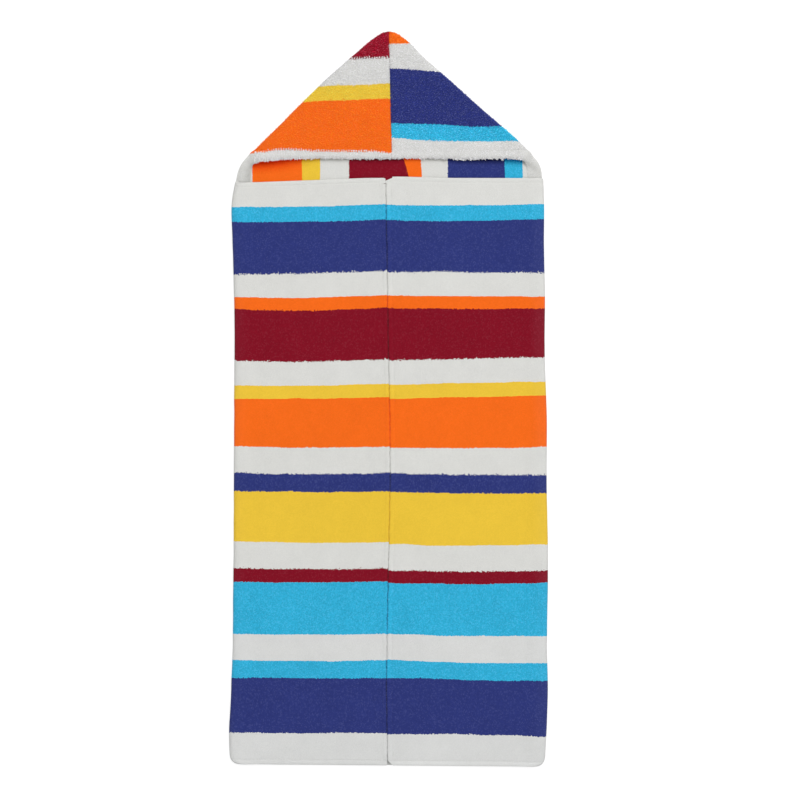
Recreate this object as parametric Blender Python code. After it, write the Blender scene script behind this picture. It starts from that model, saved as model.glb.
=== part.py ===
"""A child's hooded towel in striped terry, lying flat with both sides folded to the front.

Two rectangles of cloth make it. The wide one is the body: its side edges are folded to the
front, where they meet down the middle. The narrow one is the hood: its upper corners are folded
down and its top edge is joined up the middle of the front, so it opens below, at the brim.
The towel lies on its back on Z = 0, with +X to its right as it lies, +Y towards the hood's tip
and +Z up. Lengths are in metres, and the tables are in millimetres.
"""

import math

import bmesh
import bpy
import numpy as np

MM = 0.001

# Driving sizes
BODY_LENGTH = 0.900  # neck edge to bottom edge
HOOD_RISE = 0.2285  # neck edge to the hood's tip
CLOTH = 3.0 * MM  # thickness of the terry
LAYER_GAP = 0.8 * MM  # air between the back and a front that lies on it
FOLD_HEIGHT = 9.2 * MM  # a soft side fold stands this high
FOLD_REACH = 30 * MM  # and lifts the front this far in
HEM = 9.0 * MM  # width of the body's turned edges
HEM_PROUD = 0.6 * MM  # a turned edge stands this much above the cloth
SEAM = 0.3 * MM  # gap between two pieces that are sewn together
MEETING_GAP = 1.0 * MM  # between the two fronts
HOOD_SEAM_GAP = 0.4 * MM  # between the two flaps of the hood
HOOD_SEAM_DIP = 1.2 * MM  # the flaps turn down into their seam
HOOD_SEAM_REACH = 5.0 * MM
NECK_TUCK = 12.0 * MM  # the back's top edge lies this far below the fronts' top edge
NECK_BLEND = 60 * MM  # how far down the slant of the neck edge dies away
CORNER = 11 * MM  # radius of the bottom corners
BOTTOM_SLANT = 2.0 * MM  # the bottom edge is this much lower at the right and higher at the left
EDGE_PINCH = 0.7 * MM  # a free edge is rounded by this much on each face

NECK_Y = (BODY_LENGTH + BOTTOM_SLANT - HOOD_RISE) / 2  # the towel's box is centred on Y = 0
FRONT_LEVEL = 2 * CLOTH + LAYER_GAP  # height of a front's upper face

# The body's outline: distance down from the neck edge, and x of the left fold, of the right fold
# and of the line where the fronts meet.
BODY_COLUMNS = ("down", "left", "right", "meeting")
BODY_OUTLINE = (
    (0, -235.0, 237.5, -4.4),
    (29, -240.0, 238.5, -4.0),
    (94, -239.5, 238.5, -2.7),
    (186, -237.0, 240.0, -1.4),
    (278, -236.5, 240.0, 0.0),
    (370, -237.0, 243.0, 2.0),
    (462, -237.5, 242.5, 2.4),
    (554, -237.5, 244.5, 0.6),
    (630, -238.5, 244.5, -1.0),
    (707, -239.0, 243.0, -2.4),
    (784, -241.5, 244.5, -3.1),
    (853, -244.5, 242.0, -2.2),
    (900, -243.5, 239.5, -1.4),
)

# The hood's outline: distance up from the neck edge, x of the left fold, of the right fold and of
# the seam up the front, then the heights of the flaps' upper face and of the folds.
HOOD_COLUMNS = ("up", "left", "right", "meeting", "level", "fold")
HOOD_OUTLINE = (
    (44.0, -206.5, 213.5, 5.0, 9.8, 10.2),
    (54.0, -196.5, 204.5, 4.8, 9.6, 10.2),
    (72.0, -179.5, 184.5, 4.2, 9.2, 10.0),
    (91.0, -161.0, 162.5, 3.6, 8.8, 9.8),
    (127.0, -125.0, 121.5, 2.8, 8.2, 9.4),
    (164.0, -84.0, 80.5, 2.0, 7.8, 9.2),
    (190.0, -54.0, 51.0, 1.4, 7.6, 9.2),
    (210.0, -31.0, 31.5, 1.0, 7.8, 9.0),
    (222.0, -15.5, 17.0, 0.8, 8.0, 8.8),
    (228.5, -6.5, 8.0, 0.8, 7.6, 7.8),
)
HOOD_FOLD_SLANT = 1.5  # the hood's folds run at about 42 degrees, so a slice cuts them long

# The hem round the hood's face opening, from the seam along the brim, round the cheek and down
# the side of the hood's back to the neck: outer edge, inner edge, and heights of its two faces.
BRIM_COLUMNS = ("outer_x", "outer_up", "inner_x", "inner_up", "bottom", "top")
BRIM_LEFT = (
    (-60.0, 43.7, -60.0, 29.7, 5.0, 10.8),
    (-130.0, 43.7, -130.0, 29.2, 5.0, 10.8),
    (-175.0, 43.7, -175.0, 28.2, 4.9, 10.7),
    (-196.0, 43.7, -189.0, 27.0, 4.6, 10.3),
    (-207.5, 43.0, -201.5, 25.0, 3.5, 9.4),
    (-216.5, 34.5, -207.5, 20.5, 1.6, 8.0),
    (-225.0, 24.5, -210.5, 14.5, 0.4, 6.4),
    (-230.0, 15.0, -211.5, 8.0, 0.0, 4.9),
    (-232.8, 5.0, -212.0, 2.5, 0.0, 3.6),
    (-234.0, -1.0, -212.2, -1.0, 0.0, 3.2),
    (-235.5, -11.7, -212.5, -11.7, 0.0, 3.0),
)
BRIM_RIGHT = (
    (60.0, 43.7, 60.0, 29.8, 5.0, 10.8),
    (130.0, 43.7, 130.0, 29.8, 5.0, 10.8),
    (176.0, 43.7, 176.0, 29.4, 4.9, 10.7),
    (203.0, 43.7, 196.0, 28.4, 4.6, 10.3),
    (215.0, 43.2, 205.0, 26.5, 3.5, 9.4),
    (222.5, 34.5, 209.0, 21.5, 1.6, 8.0),
    (230.0, 25.0, 211.5, 15.0, 0.4, 6.4),
    (234.2, 15.0, 212.5, 8.0, 0.0, 4.9),
    (235.5, 5.0, 213.0, 2.5, 0.0, 3.5),
    (235.8, -1.0, 213.2, -1.0, 0.0, 3.2),
    (236.8, -11.7, 213.5, -11.7, 0.0, 3.0),
)
BRIM_AT_SEAM = {"outer_up": 43.7, "inner_up": 30.0, "bottom": 5.0, "top": 10.4}
BRIM_LIES_LOW = 4  # from this row on, the brim hem lies beside the hood's back, not above it
BRIM_CLEARANCE = 0.6  # mm between them across, which leaves the seam gap square to the edge

# How far the neck edge of the fronts stands above or below the neck line, by x
NECK_EDGE = ((-245, -6.0), (-60, 0.6), (-5, 1.5), (245, 1.5))

# Shares of a front's width at which its cloth is cut into columns, from the middle to the fold
FRONT_SHARES = (0.0, 0.025, 0.35, 0.7, 0.88, 1.0)
FOLD_STEPS = 6  # faces round a half-turn of cloth
QUARTER = len(FRONT_SHARES) - 1 + FOLD_STEPS // 2  # columns from a front's edge to its fold

WHITE = (0.70, 0.70, 0.67)
ORANGE = (0.95, 0.16, 0.01)


def clear_scene():
    for thing in list(bpy.data.objects):
        bpy.data.objects.remove(thing, do_unlink=True)


def read_table(rows, columns):
    """A table in millimetres as one array in metres for each named column."""
    return {name: np.array([row[i] for row in rows]) * MM for i, name in enumerate(columns)}


def smooth_at(places, values, place):
    """The value at a place, on a smooth curve through the table's rows."""
    slopes = np.gradient(values, places)
    i = int(np.clip(np.searchsorted(places, place) - 1, 0, len(places) - 2))
    width = places[i + 1] - places[i]
    t = (place - places[i]) / width
    return (
        values[i] * (1 + 2 * t) * (1 - t) ** 2
        + values[i + 1] * (3 - 2 * t) * t**2
        + width * (slopes[i] * t * (1 - t) ** 2 - slopes[i + 1] * t**2 * (1 - t))
    )


def fade(share):
    """1 at a share of 0 and 0 from a share of 1 on, with no kink at either end."""
    share = min(max(share, 0.0), 1.0)
    return (1 - share) ** 2 * (1 + 2 * share)


def wrapped_slice(left, right, meeting, gap, level, fold, slant=1.0, proud=0.0, pinch=0.0, dip=0.0):
    """A slice through cloth that is wrapped to the front, from the left front's edge round the
    back to the right front's edge. Each entry is the outer x and z, the inner x and z, and how
    much the place belongs to the front, from 0 to 1."""
    radius = fold / 2

    def half(side_x, side):
        reach = radius * slant
        axis_x = side_x - side * reach
        edge_x = meeting + side * gap / 2

        def front_top(x):
            lifted = level + (fold - level) * fade(abs(axis_x - x) / FOLD_REACH)
            return lifted - dip * fade(abs(x - edge_x) / HOOD_SEAM_REACH)

        points = []
        for share in FRONT_SHARES:
            x = edge_x + (axis_x - edge_x) * share
            z = front_top(x)
            points.append((x, z + proud - pinch, x, z - CLOTH + pinch, 1.0))
        for step in range(1, FOLD_STEPS):
            angle = math.pi * (0.5 - step / FOLD_STEPS)
            out = radius + proud * max(math.sin(angle), 0.0) - pinch
            inn = radius - CLOTH + pinch
            cos, sin = math.cos(angle), math.sin(angle)
            points.append(
                (
                    axis_x + side * out * slant * cos,
                    radius + out * sin,
                    axis_x + side * inn * slant * cos,
                    radius + inn * sin,
                    (1 + sin) / 2,
                )
            )
        for share in reversed(FRONT_SHARES):
            x = edge_x + (axis_x - edge_x) * share
            x += (meeting - edge_x) * (1 - share)
            points.append((x, pinch, x, CLOTH - pinch, 0.0))
        return points

    return half(left, -1) + half(right, 1)[-2::-1]


def strip_mesh(name, outer, inner, keep=None, closed_tip=False):
    """A closed sheet of cloth between two grids of points, of the cells that keep allows. A
    closed tip joins the last row's front to its back instead of leaving an open end."""
    rows, columns = outer.shape[:2]
    shape = bmesh.new()
    grids = [[[shape.verts.new(p) for p in row] for row in grid] for grid in (outer, inner)]
    out, inn = grids
    cells = {
        (r, c)
        for r in range(rows - 1)
        for c in range(columns - 1)
        if keep is None or keep(r, c)
    }
    for r, c in sorted(cells):
        corners = ((r, c), (r, c + 1), (r + 1, c + 1), (r + 1, c))
        shape.faces.new([out[i][j] for i, j in corners])
        shape.faces.new([inn[i][j] for i, j in reversed(corners)])
        neighbours = ((r - 1, c), (r, c + 1), (r + 1, c), (r, c - 1))
        for k, cell in enumerate(neighbours):
            at_tip = closed_tip and cell[0] == rows - 1
            if cell in cells or at_tip:
                continue
            (i, j), (m, n) = corners[k], corners[(k + 1) % 4]
            shape.faces.new([out[m][n], out[i][j], inn[i][j], inn[m][n]])
    if closed_tip:
        close_tip(shape, out[-1], inn[-1])
    loose = [v for v in shape.verts if not v.link_faces]
    bmesh.ops.delete(shape, geom=loose, context="VERTS")
    bmesh.ops.recalc_face_normals(shape, faces=shape.faces[:])
    return finish_mesh(name, shape)


def close_tip(shape, out, inn):
    """Closes the end of wrapped cloth: each front point is joined to the back point below it,
    on the outer face and on the inner one, and the seam up the front ends in a small wall."""
    last = len(out) - 1
    middle = last // 2
    for row in (out, inn):
        for start, step in ((0, 1), (last, -1)):
            for k in range(middle // 2):
                a, b = start + step * k, start + step * (k + 1)
                c, d = middle - step * (k + 1), middle - step * k
                corners = [row[a], row[b]] + ([row[c]] if b != c else []) + [row[d]]
                shape.faces.new(dict.fromkeys(corners))
        shape.faces.new([row[0], row[middle], row[last]])
    shape.faces.new([out[0], out[last], inn[last], inn[0]])


def finish_mesh(name, shape):
    mesh = bpy.data.meshes.new(name)
    shape.to_mesh(mesh)
    shape.free()
    mesh.shade_smooth()
    mesh.set_sharp_from_angle(angle=math.radians(40))
    piece = bpy.data.objects.new(name, mesh)
    bpy.context.scene.collection.objects.link(piece)
    return piece


def terry(piece, colour):
    """Plain terry in one colour, one material for each piece."""
    material = bpy.data.materials.new(piece.name + "_terry")
    material.use_nodes = True
    shader = material.node_tree.nodes["Principled BSDF"]
    shader.inputs["Base Color"].default_value = (*colour, 1)
    shader.inputs["Roughness"].default_value = 0.95
    shader.inputs["Metallic"].default_value = 0.0
    piece.data.materials.append(material)


# The body


def neck_edge(x):
    places, values = np.array(NECK_EDGE).T * MM
    return float(np.interp(x, places, values))


def corner_inset(down):
    """How much the rounded bottom corners take off each side at this distance down."""
    into = down - (BODY_LENGTH - CORNER)
    return CORNER - math.sqrt(max(CORNER**2 - into**2, 0.0)) if into > 0 else 0.0


def body_slice(down, gap=MEETING_GAP, proud=0.0, pinch=0.0):
    """The points of the body across one line, as an outer and an inner row."""
    table = read_table(BODY_OUTLINE, BODY_COLUMNS)
    left, right, meeting = (
        smooth_at(table["down"], table[name], down) for name in ("left", "right", "meeting")
    )
    inset = corner_inset(down)
    points = wrapped_slice(
        left + inset,
        right - inset,
        meeting,
        gap,
        FRONT_LEVEL,
        FOLD_HEIGHT,
        proud=proud,
        pinch=pinch,
    )
    share_down = down / BODY_LENGTH

    def y(x, frontness):
        slant = BOTTOM_SLANT * (x / 0.24) * share_down**2
        return NECK_Y - down + neck_edge(x) * fade(down / NECK_BLEND) * frontness - slant

    outer = [(xo, y(xo, front), zo) for xo, zo, _, _, front in points]
    inner = [(xi, y(xi, front), zi) for _, _, xi, zi, front in points]
    return outer, inner


def body_grid(downs, columns=slice(None), **options):
    """Slices of the body at these distances down, as an outer and an inner grid of points."""
    slices = [body_slice(down, **options) for down in downs]
    return [np.array([pair[k] for pair in slices])[:, columns] for k in (0, 1)]


def body_cloth():
    """The body rectangle inside its hems: the two fronts, the side folds and the back."""
    table_rows = [row[0] * MM for row in BODY_OUTLINE[1:-1]]
    downs = [HEM + SEAM, NECK_TUCK, *table_rows, BODY_LENGTH - HEM - SEAM]
    wide_gap = MEETING_GAP + 2 * (HEM + SEAM)
    outer, inner = body_grid(downs, gap=wide_gap)
    last = outer.shape[1] - 2

    def keep(r, c):
        """The back starts at the neck seam, which is lower than the fronts' hems."""
        return r > 0 or c < QUARTER or c > last - QUARTER

    terry(strip_mesh("body_cloth", outer, inner, keep), WHITE)


def front_hems():
    """The turned edges of the two fronts, on either side of the line where they meet."""
    table = read_table(BODY_OUTLINE, BODY_COLUMNS)
    downs = [HEM + SEAM, *table["down"][1:-1], BODY_LENGTH - HEM - SEAM]
    across = (0.0, 1.0 * MM, HEM - 1.0 * MM, HEM)
    tops = (-EDGE_PINCH, HEM_PROUD, HEM_PROUD, 0.0)
    for side, name in ((-1, "front_hem_left"), (1, "front_hem_right")):
        outer, inner = [], []
        for down in downs:
            edge = smooth_at(table["down"], table["meeting"], down) + side * MEETING_GAP / 2
            xs = [edge + side * a for a in across]
            ys = [NECK_Y - down + neck_edge(x) * fade(down / NECK_BLEND) for x in xs]
            outer.append([(x, y, FRONT_LEVEL + top) for x, y, top in zip(xs, ys, tops)])
            inner.append([(x, y, FRONT_LEVEL - CLOTH) for x, y in zip(xs, ys)])
        terry(strip_mesh(name, np.array(outer), np.array(inner)), WHITE)


def neck_hems():
    """The turned top edges of the fronts, each as far as the side of its fold."""
    rows = ((0.0, EDGE_PINCH), (1.5 * MM, 0.0), (HEM, 0.0))
    for name, columns in (
        ("neck_hem_left", slice(0, QUARTER + 1)),
        ("neck_hem_right", slice(-QUARTER - 1, None)),
    ):
        pairs = [
            body_grid([down], columns, proud=HEM_PROUD, pinch=pinch)
            for down, pinch in rows
        ]
        outer, inner = (np.concatenate([pair[k] for pair in pairs]) for k in (0, 1))
        terry(strip_mesh(name, outer, inner), WHITE)


def bottom_hem():
    """The turned bottom edge, which goes round the back and both fronts."""
    rows = (
        (BODY_LENGTH - HEM, 0.0),
        (BODY_LENGTH - 5.0 * MM, 0.0),
        (BODY_LENGTH - 1.8 * MM, 0.0),
        (BODY_LENGTH, EDGE_PINCH),
    )
    pairs = [
        body_grid([down], proud=HEM_PROUD, pinch=pinch)
        for down, pinch in rows
    ]
    outer, inner = (np.concatenate([pair[k] for pair in pairs]) for k in (0, 1))
    terry(strip_mesh("bottom_hem", outer, inner), WHITE)


# The hood


def hood_cloth():
    """The hood strip inside its brim hem: the back down to the neck seam, and the two flaps that
    are folded over it, joined up the front."""
    table = read_table(HOOD_OUTLINE, HOOD_COLUMNS)
    slices = []
    for k in range(len(table["up"])):
        row = {name: values[k] for name, values in table.items()}
        points = wrapped_slice(
            row["left"],
            row["right"],
            row["meeting"],
            HOOD_SEAM_GAP,
            row["level"],
            row["fold"],
            slant=HOOD_FOLD_SLANT,
            dip=HOOD_SEAM_DIP,
        )
        y = NECK_Y + row["up"]
        slices.append(
            (
                [(xo, y, zo) for xo, zo, _, _, _ in points],
                [(xi, y, zi) for _, _, xi, zi, _ in points],
            )
        )
    outer, inner = (np.array([pair[k] for pair in slices]) for k in (0, 1))
    inner[-1, :, 1] -= CLOTH
    low_outer, low_inner = hood_back_rows(outer[0], inner[0])
    below = len(low_outer)
    outer = np.concatenate([low_outer, outer])
    inner = np.concatenate([low_inner, inner])
    last = outer.shape[1] - 2

    def keep(r, c):
        """Below the brim only the back goes on, between the two sides' hems."""
        beyond_fold = QUARTER + FOLD_STEPS // 2
        return r >= below or beyond_fold <= c <= last - beyond_fold

    terry(strip_mesh("hood_cloth", outer, inner, keep, closed_tip=True), ORANGE)


def hood_back_rows(first_outer, first_inner):
    """The rows of the hood's back below the brim, from the neck seam up, beside its side hems."""
    left, right = (
        read_table(rows[BRIM_LIES_LOW:], BRIM_COLUMNS) for rows in (BRIM_LEFT, BRIM_RIGHT)
    )
    clear = BRIM_CLEARANCE * MM
    outer, inner = [], []
    for k in reversed(range(len(left["inner_x"]))):
        start_x, end_x = left["inner_x"][k] + clear, right["inner_x"][k] - clear
        start_y, end_y = NECK_Y + left["inner_up"][k], NECK_Y + right["inner_up"][k]
        for rows, source in ((outer, first_outer), (inner, first_inner)):
            shares = back_shares(source[:, 0])
            flat = source.copy()
            flat[:, 0] = start_x + (end_x - start_x) * shares
            flat[:, 1] = start_y + (end_y - start_y) * shares
            rows.append(flat)
    return np.array(outer), np.array(inner)


def back_shares(xs):
    """Where each column lies across the flat of the back, from 0 to 1 between the two folds."""
    beyond_fold = QUARTER + FOLD_STEPS // 2
    low, high = xs[beyond_fold], xs[-1 - beyond_fold]
    return np.clip((xs - low) / (high - low), 0, 1)


def brim_hem(name, rows, side):
    """A turned edge of the hood, a flat band with rounded edges: along the brim, round the cheek
    and down beside the hood's back to the neck seam."""
    table = read_table(rows, BRIM_COLUMNS)
    seam_x = HOOD_OUTLINE[0][3] * MM + side * HOOD_SEAM_GAP / 2
    start = {key: value * MM for key, value in BRIM_AT_SEAM.items()}
    start.update(outer_x=seam_x, inner_x=seam_x)
    table = {key: np.concatenate([[start[key]], values]) for key, values in table.items()}
    across = ((0.0, 0.30), (0.12, 0.04), (0.5, 0.0), (0.88, 0.04), (1.0, 0.30))
    outer, inner = [], []
    for k in range(len(table["top"])):
        row = {key: values[k] for key, values in table.items()}
        height = row["top"] - row["bottom"]
        top_row, bottom_row = [], []
        for share, taken in across:
            x = row["outer_x"] + (row["inner_x"] - row["outer_x"]) * share
            up = row["outer_up"] + (row["inner_up"] - row["outer_up"]) * share
            top_row.append((x, NECK_Y + up, row["top"] - taken * height))
            bottom_row.append((x, NECK_Y + up, row["bottom"] + taken * height * 0.5))
        outer.append(top_row)
        inner.append(bottom_row)
    terry(strip_mesh(name, np.array(outer), np.array(inner)), WHITE)


def main():
    clear_scene()
    body_cloth()
    front_hems()
    neck_hems()
    bottom_hem()
    hood_cloth()
    brim_hem("brim_hem_left", BRIM_LEFT, -1)
    brim_hem("brim_hem_right", BRIM_RIGHT, 1)


main()
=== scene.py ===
# %% [markdown]
# # A hooded towel in striped terry
# The real thing is two rectangles of cotton terry. The wide one wraps round the child: here it lies
# on its back with both sides folded to the front, so that its edges meet down the middle. The narrow
# one is the hood, folded to a point and joined up the front, and its hem stands open below as a brim.
# A imported CAD model already holds the right sizes, as plain solids. This notebook puts the cloth on
# them: dense soft meshes for each piece, small meshes for the loops of the pile and for the
# stitches, and finishes made from shader nodes. The first cell loads the imported model as a fixed
# frame. The dressed towel may only be a little larger.

import math

import bpy
import numpy as np
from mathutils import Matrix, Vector


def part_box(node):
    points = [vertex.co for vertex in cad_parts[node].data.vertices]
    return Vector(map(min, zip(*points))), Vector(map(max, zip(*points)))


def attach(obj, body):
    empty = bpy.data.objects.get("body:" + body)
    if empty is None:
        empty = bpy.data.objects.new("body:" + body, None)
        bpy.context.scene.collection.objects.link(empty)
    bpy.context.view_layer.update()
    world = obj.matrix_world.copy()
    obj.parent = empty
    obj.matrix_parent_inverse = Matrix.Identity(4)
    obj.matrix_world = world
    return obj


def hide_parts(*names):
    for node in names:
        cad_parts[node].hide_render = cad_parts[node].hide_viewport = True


MM = 0.001  # the frame is in metres, and the tables below are in millimetres

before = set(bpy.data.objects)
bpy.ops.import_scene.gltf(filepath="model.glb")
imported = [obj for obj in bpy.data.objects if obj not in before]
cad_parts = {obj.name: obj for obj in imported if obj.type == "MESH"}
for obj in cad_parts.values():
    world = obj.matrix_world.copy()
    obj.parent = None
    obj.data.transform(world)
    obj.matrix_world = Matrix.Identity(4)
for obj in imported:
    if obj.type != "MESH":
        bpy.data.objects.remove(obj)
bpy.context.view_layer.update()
print("CAD nodes:", ", ".join(sorted(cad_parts)))

# %% [markdown]
# ## Light, floor and camera
# A towel like this is shown laid flat on a white table and looked at from straight above. A bright
# plain sky lights it from all round, which keeps the colours true and the shadows faint. It is
# brightest overhead, so that a fold darkens a little as it turns down. One large round lamp, over
# five metres off beyond the hood's tip and to the right, adds just enough direction for the hems,
# the brim and the soft folds to read, and leaves the bottom of the towel a shade darker than the
# top. A sun lamp would light both ends the same. A long lens, far away, keeps the towel's sides
# parallel. The sky and every finish are made of nodes, so a few helpers for those come first. A
# node could be made, set and linked line by line, but one call for each reads like a recipe.

# %% Helpers for nodes
def feed(tree, socket, source):
    """Links a socket to another, or sets it to a plain number or colour."""
    if isinstance(source, bpy.types.NodeSocket):
        tree.links.new(source, socket)
    elif source is not None:
        socket.default_value = (*source, 1) if isinstance(source, tuple) else source


def node(tree, kind, *sources, **settings):
    """A new node with its settings, its inputs fed in order."""
    made = tree.nodes.new(kind)
    for key, value in settings.items():
        setattr(made, key, value)
    for socket, source in zip(made.inputs, sources):
        feed(tree, socket, source)
    return made


def fed_by_name(tree, made, **sources):
    """The same node, with inputs fed by their names, which are written with _ for a space."""
    for key, source in sources.items():
        feed(tree, made.inputs[key.replace("_", " ")], source)
    return made


def new_finish(name):
    """A new material, with its node tree and its shader."""
    material = bpy.data.materials.new(name)
    material.use_nodes = True
    return material, material.node_tree, material.node_tree.nodes["Principled BSDF"]


print("helpers:", ", ".join(helper.__name__ for helper in (feed, node, fed_by_name, new_finish)))

# %% Sky and lamp
SKY_LOW, SKY_TOP = 0.44, 1.0  # how bright it is at the horizon and overhead
LAMP_LIGHT = 1.52  # how much of it reaches the towel
LAMP_FROM = Vector((0.42, 0.62, 1.0)).normalized() * 5.4
LAMP_WIDTH = 3.7  # metres across

scene = bpy.context.scene
scene.view_settings.view_transform = "Standard"
sky = bpy.data.worlds.new("white_room")
sky.use_nodes = True
tree = sky.node_tree
around = node(tree, "ShaderNodeTexCoord").outputs["Generated"]
way_up = node(tree, "ShaderNodeSeparateXYZ", around).outputs["Z"]
glow = node(tree, "ShaderNodeMapRange", way_up, 0.0, 1.0, SKY_LOW, SKY_TOP).outputs["Result"]
fed_by_name(tree, tree.nodes["Background"], Color=glow)
scene.world = sky

lamp = bpy.data.objects.new("broad_lamp", bpy.data.lights.new("broad_lamp", "AREA"))
lamp.data.shape = "DISK"
lamp.data.size = LAMP_WIDTH
lamp.data.energy = LAMP_LIGHT * math.pi * LAMP_FROM.length_squared
lamp.location = LAMP_FROM
lamp.rotation_euler = LAMP_FROM.to_track_quat("Z", "Y").to_euler()
lamp.visible_camera = False
scene.collection.objects.link(lamp)
print("sky from", SKY_LOW, "to", SKY_TOP, "and a lamp of", round(lamp.data.energy), "watts")

# %% Camera straight above
LENS, SENSOR = 100.0, 36.0  # mm
SHOWN_WIDTH = 1.2267  # metres across the picture, at the height of the towel's upper face
UPPER_FACE = 0.007  # metres above the table
CAMERA_OVER = (0.0176, -0.0018)  # the spot that it looks down on

camera = bpy.data.objects.new("camera", bpy.data.cameras.new("camera"))
camera.data.lens = LENS
camera.data.sensor_width = SENSOR
camera.location = (*CAMERA_OVER, SHOWN_WIDTH * LENS / SENSOR + UPPER_FACE)
camera.data.clip_end = 50
scene.collection.objects.link(camera)
scene.camera = camera
print("camera", round(camera.location.z, 3), "m above the table")

# %% Pale floor
FLOOR_DROP = 0.0003  # metres, so that the towel's lowest faces never share its plane
FLOOR_GREY = 0.35
FLOOR_GLOW = 0.74  # its own light, which keeps it white where the towel shades it

bpy.ops.mesh.primitive_grid_add(x_subdivisions=8, y_subdivisions=8, size=30, location=(0, 0, -FLOOR_DROP))
floor = bpy.context.object
floor.name = "table_top"
paint, tree, shader = new_finish("white_table")
fed_by_name(tree, shader, Base_Color=(FLOOR_GREY,) * 3, Roughness=0.9, Specular_IOR_Level=0.0)
fed_by_name(tree, shader, Emission_Color=(1.0, 1.0, 1.0), Emission_Strength=FLOOR_GLOW)
floor.data.materials.append(paint)
floor.visible_diffuse = False  # so that it doesn't light the folds from below
print("floor laid", FLOOR_DROP / MM, "mm under the towel")

# %% [markdown]
# ## Sizes of the cloth
# Terry is thick and soft, so every edge is round and every fold is a fat tube. The sizes below are
# in millimetres. Most repeat those of the CAD solids, and a few are softer, such as the corners and
# the edges that meet. They could be read off the solids point by point, but a short table is easier
# to draw a soft curve through. Places along the towel are measured down from the neck line, where
# the hood meets the body, or up from it towards the hood's tip, and the frame's own box says where
# that line is.

# %% Sizes in millimetres
BODY_LENGTH = 899.0
HOOD_RISE = 228.5
BRIM_UP = 44.0  # where the flaps end and the hem of the face opening begins
CLOTH = 3.0  # thickness of the terry
FRONT_LEVEL = 6.8  # height of a front's upper face, over the back and a little air
FOLD_HEIGHT = 9.2  # a soft side fold stands this high
FOLD_REACH = 30.0  # and lifts the front this far in
FOLD_WIDE = 1.9  # it is pressed wider than it is high, by this many times
HEM = 9.0
HEM_JOIN = 0.02  # between a hem and the cloth it belongs to
MEETING_GAP = 0.14  # the fronts' soft edges almost touch
HOOD_SEAM_GAP = 0.4
HOOD_SEAM_DIP = 1.8  # the flaps turn down this far into their seam
SEAM_REACH = 5.0  # over this width
NECK_TUCK = 12.0  # the back of the body starts this far down, at the neck seam
NECK_BLEND = 60.0  # the slope of the neck edge dies out over this length
CORNER = 14.0  # radius of the bottom corners
BOTTOM_SLANT = 2.0  # the bottom edge hangs this much lower at the right
SLANT_WIDTH = 240  # this far from the middle, and as much higher at the left

NECK_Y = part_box("hood_cloth")[1].y / MM - HOOD_RISE
print("neck line at y =", round(NECK_Y, 2), "mm")

# %% Outlines of the body and the hood
# Body: distance down, then x of the left fold, of the right fold and of the line where fronts meet.
BODY_OUTLINE = (
    (0, -235.0, 237.5, -4.4),
    (29, -240.0, 238.5, -4.0),
    (94, -239.5, 238.5, -2.7),
    (186, -237.0, 240.0, -1.4),
    (278, -236.5, 240.0, 0.0),
    (370, -237.0, 243.0, 2.0),
    (462, -237.5, 242.5, 2.4),
    (554, -237.5, 244.5, 0.6),
    (630, -238.5, 244.5, -1.0),
    (707, -239.0, 243.0, -2.4),
    (784, -241.5, 244.5, -3.1),
    (853, -244.5, 242.0, -2.2),
    (899, -243.5, 239.5, -1.4),
)
# Hood: distance up, x of the left fold, of the right fold and of the seam, heights of flap and fold.
HOOD_OUTLINE = (
    (44.0, -206.5, 213.5, 5.0, 9.8, 10.2),
    (54.0, -196.5, 204.5, 4.8, 9.6, 10.2),
    (72.0, -178.2, 184.5, 4.2, 9.2, 10.0),
    (91.0, -159.0, 162.5, 3.6, 8.8, 9.8),
    (127.0, -123.2, 121.5, 2.8, 8.2, 9.4),
    (164.0, -84.0, 80.5, 2.0, 7.8, 9.2),
    (190.0, -54.0, 51.0, 1.4, 7.6, 9.2),
    (210.0, -31.0, 31.5, 1.0, 7.8, 9.0),
    (222.0, -15.5, 17.0, 0.8, 8.0, 8.8),
    (228.5, -6.5, 8.0, 0.8, 7.6, 7.8),
)
# Top edge of the fronts: x, and how far up they go.
NECK_EDGE = (
    (-245, -6.0), (-110, -1.1), (-60, 1.1), (-37, 1.9), (-5, 2.1),
    (-4, 3.8), (16, 4.1), (30, 3.9), (45, 3.4), (97, 2.0), (245, 1.8),
)


def columns_of(rows, *names):
    """The named columns of a table, each as an array."""
    return {name: np.array([row[i] for row in rows], float) for i, name in enumerate(names)}


body_line = columns_of(BODY_OUTLINE, "down", "left", "right", "meeting")
hood_line = columns_of(HOOD_OUTLINE, "up", "left", "right", "meeting", "level", "fold")
print("body", len(BODY_OUTLINE), "rows, hood", len(HOOD_OUTLINE), "rows")

# %% [markdown]
# ## Softness
# The edges and faces of cloth are never quite straight. Small helpers make them so: one draws a
# smooth curve through the rows of a table, and another makes gentle random bumps of a chosen width.
# A Displace modifier with a noise texture could make the bumps as well, but numbers in numpy can
# also be used to place loops and stitches. The bumps come from a grid of random values, read with a
# smooth step between its points. The seed is fixed, so the towel comes out the same each time.

# %% Smooth curves and soft bumps
def fade(share):
    """1 at a share of 0 and 0 from a share of 1 on, with no kink at either end."""
    share = np.clip(share, 0.0, 1.0)
    return (1 - share) ** 2 * (1 + 2 * share)


def smooth_at(places, values, at):
    """Values at any places, on a smooth curve through the rows of a table."""
    slopes = np.gradient(values, places)
    i = np.clip(np.searchsorted(places, at) - 1, 0, len(places) - 2)
    width = places[i + 1] - places[i]
    t = (at - places[i]) / width
    start, end = values[i] * (1 + 2 * t) * (1 - t) ** 2, values[i + 1] * (3 - 2 * t) * t**2
    return start + end + width * (slopes[i] * t * (1 - t) ** 2 - slopes[i + 1] * t**2 * (1 - t))


BUMP_GRID = 97  # the bumps repeat after this many


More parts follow.
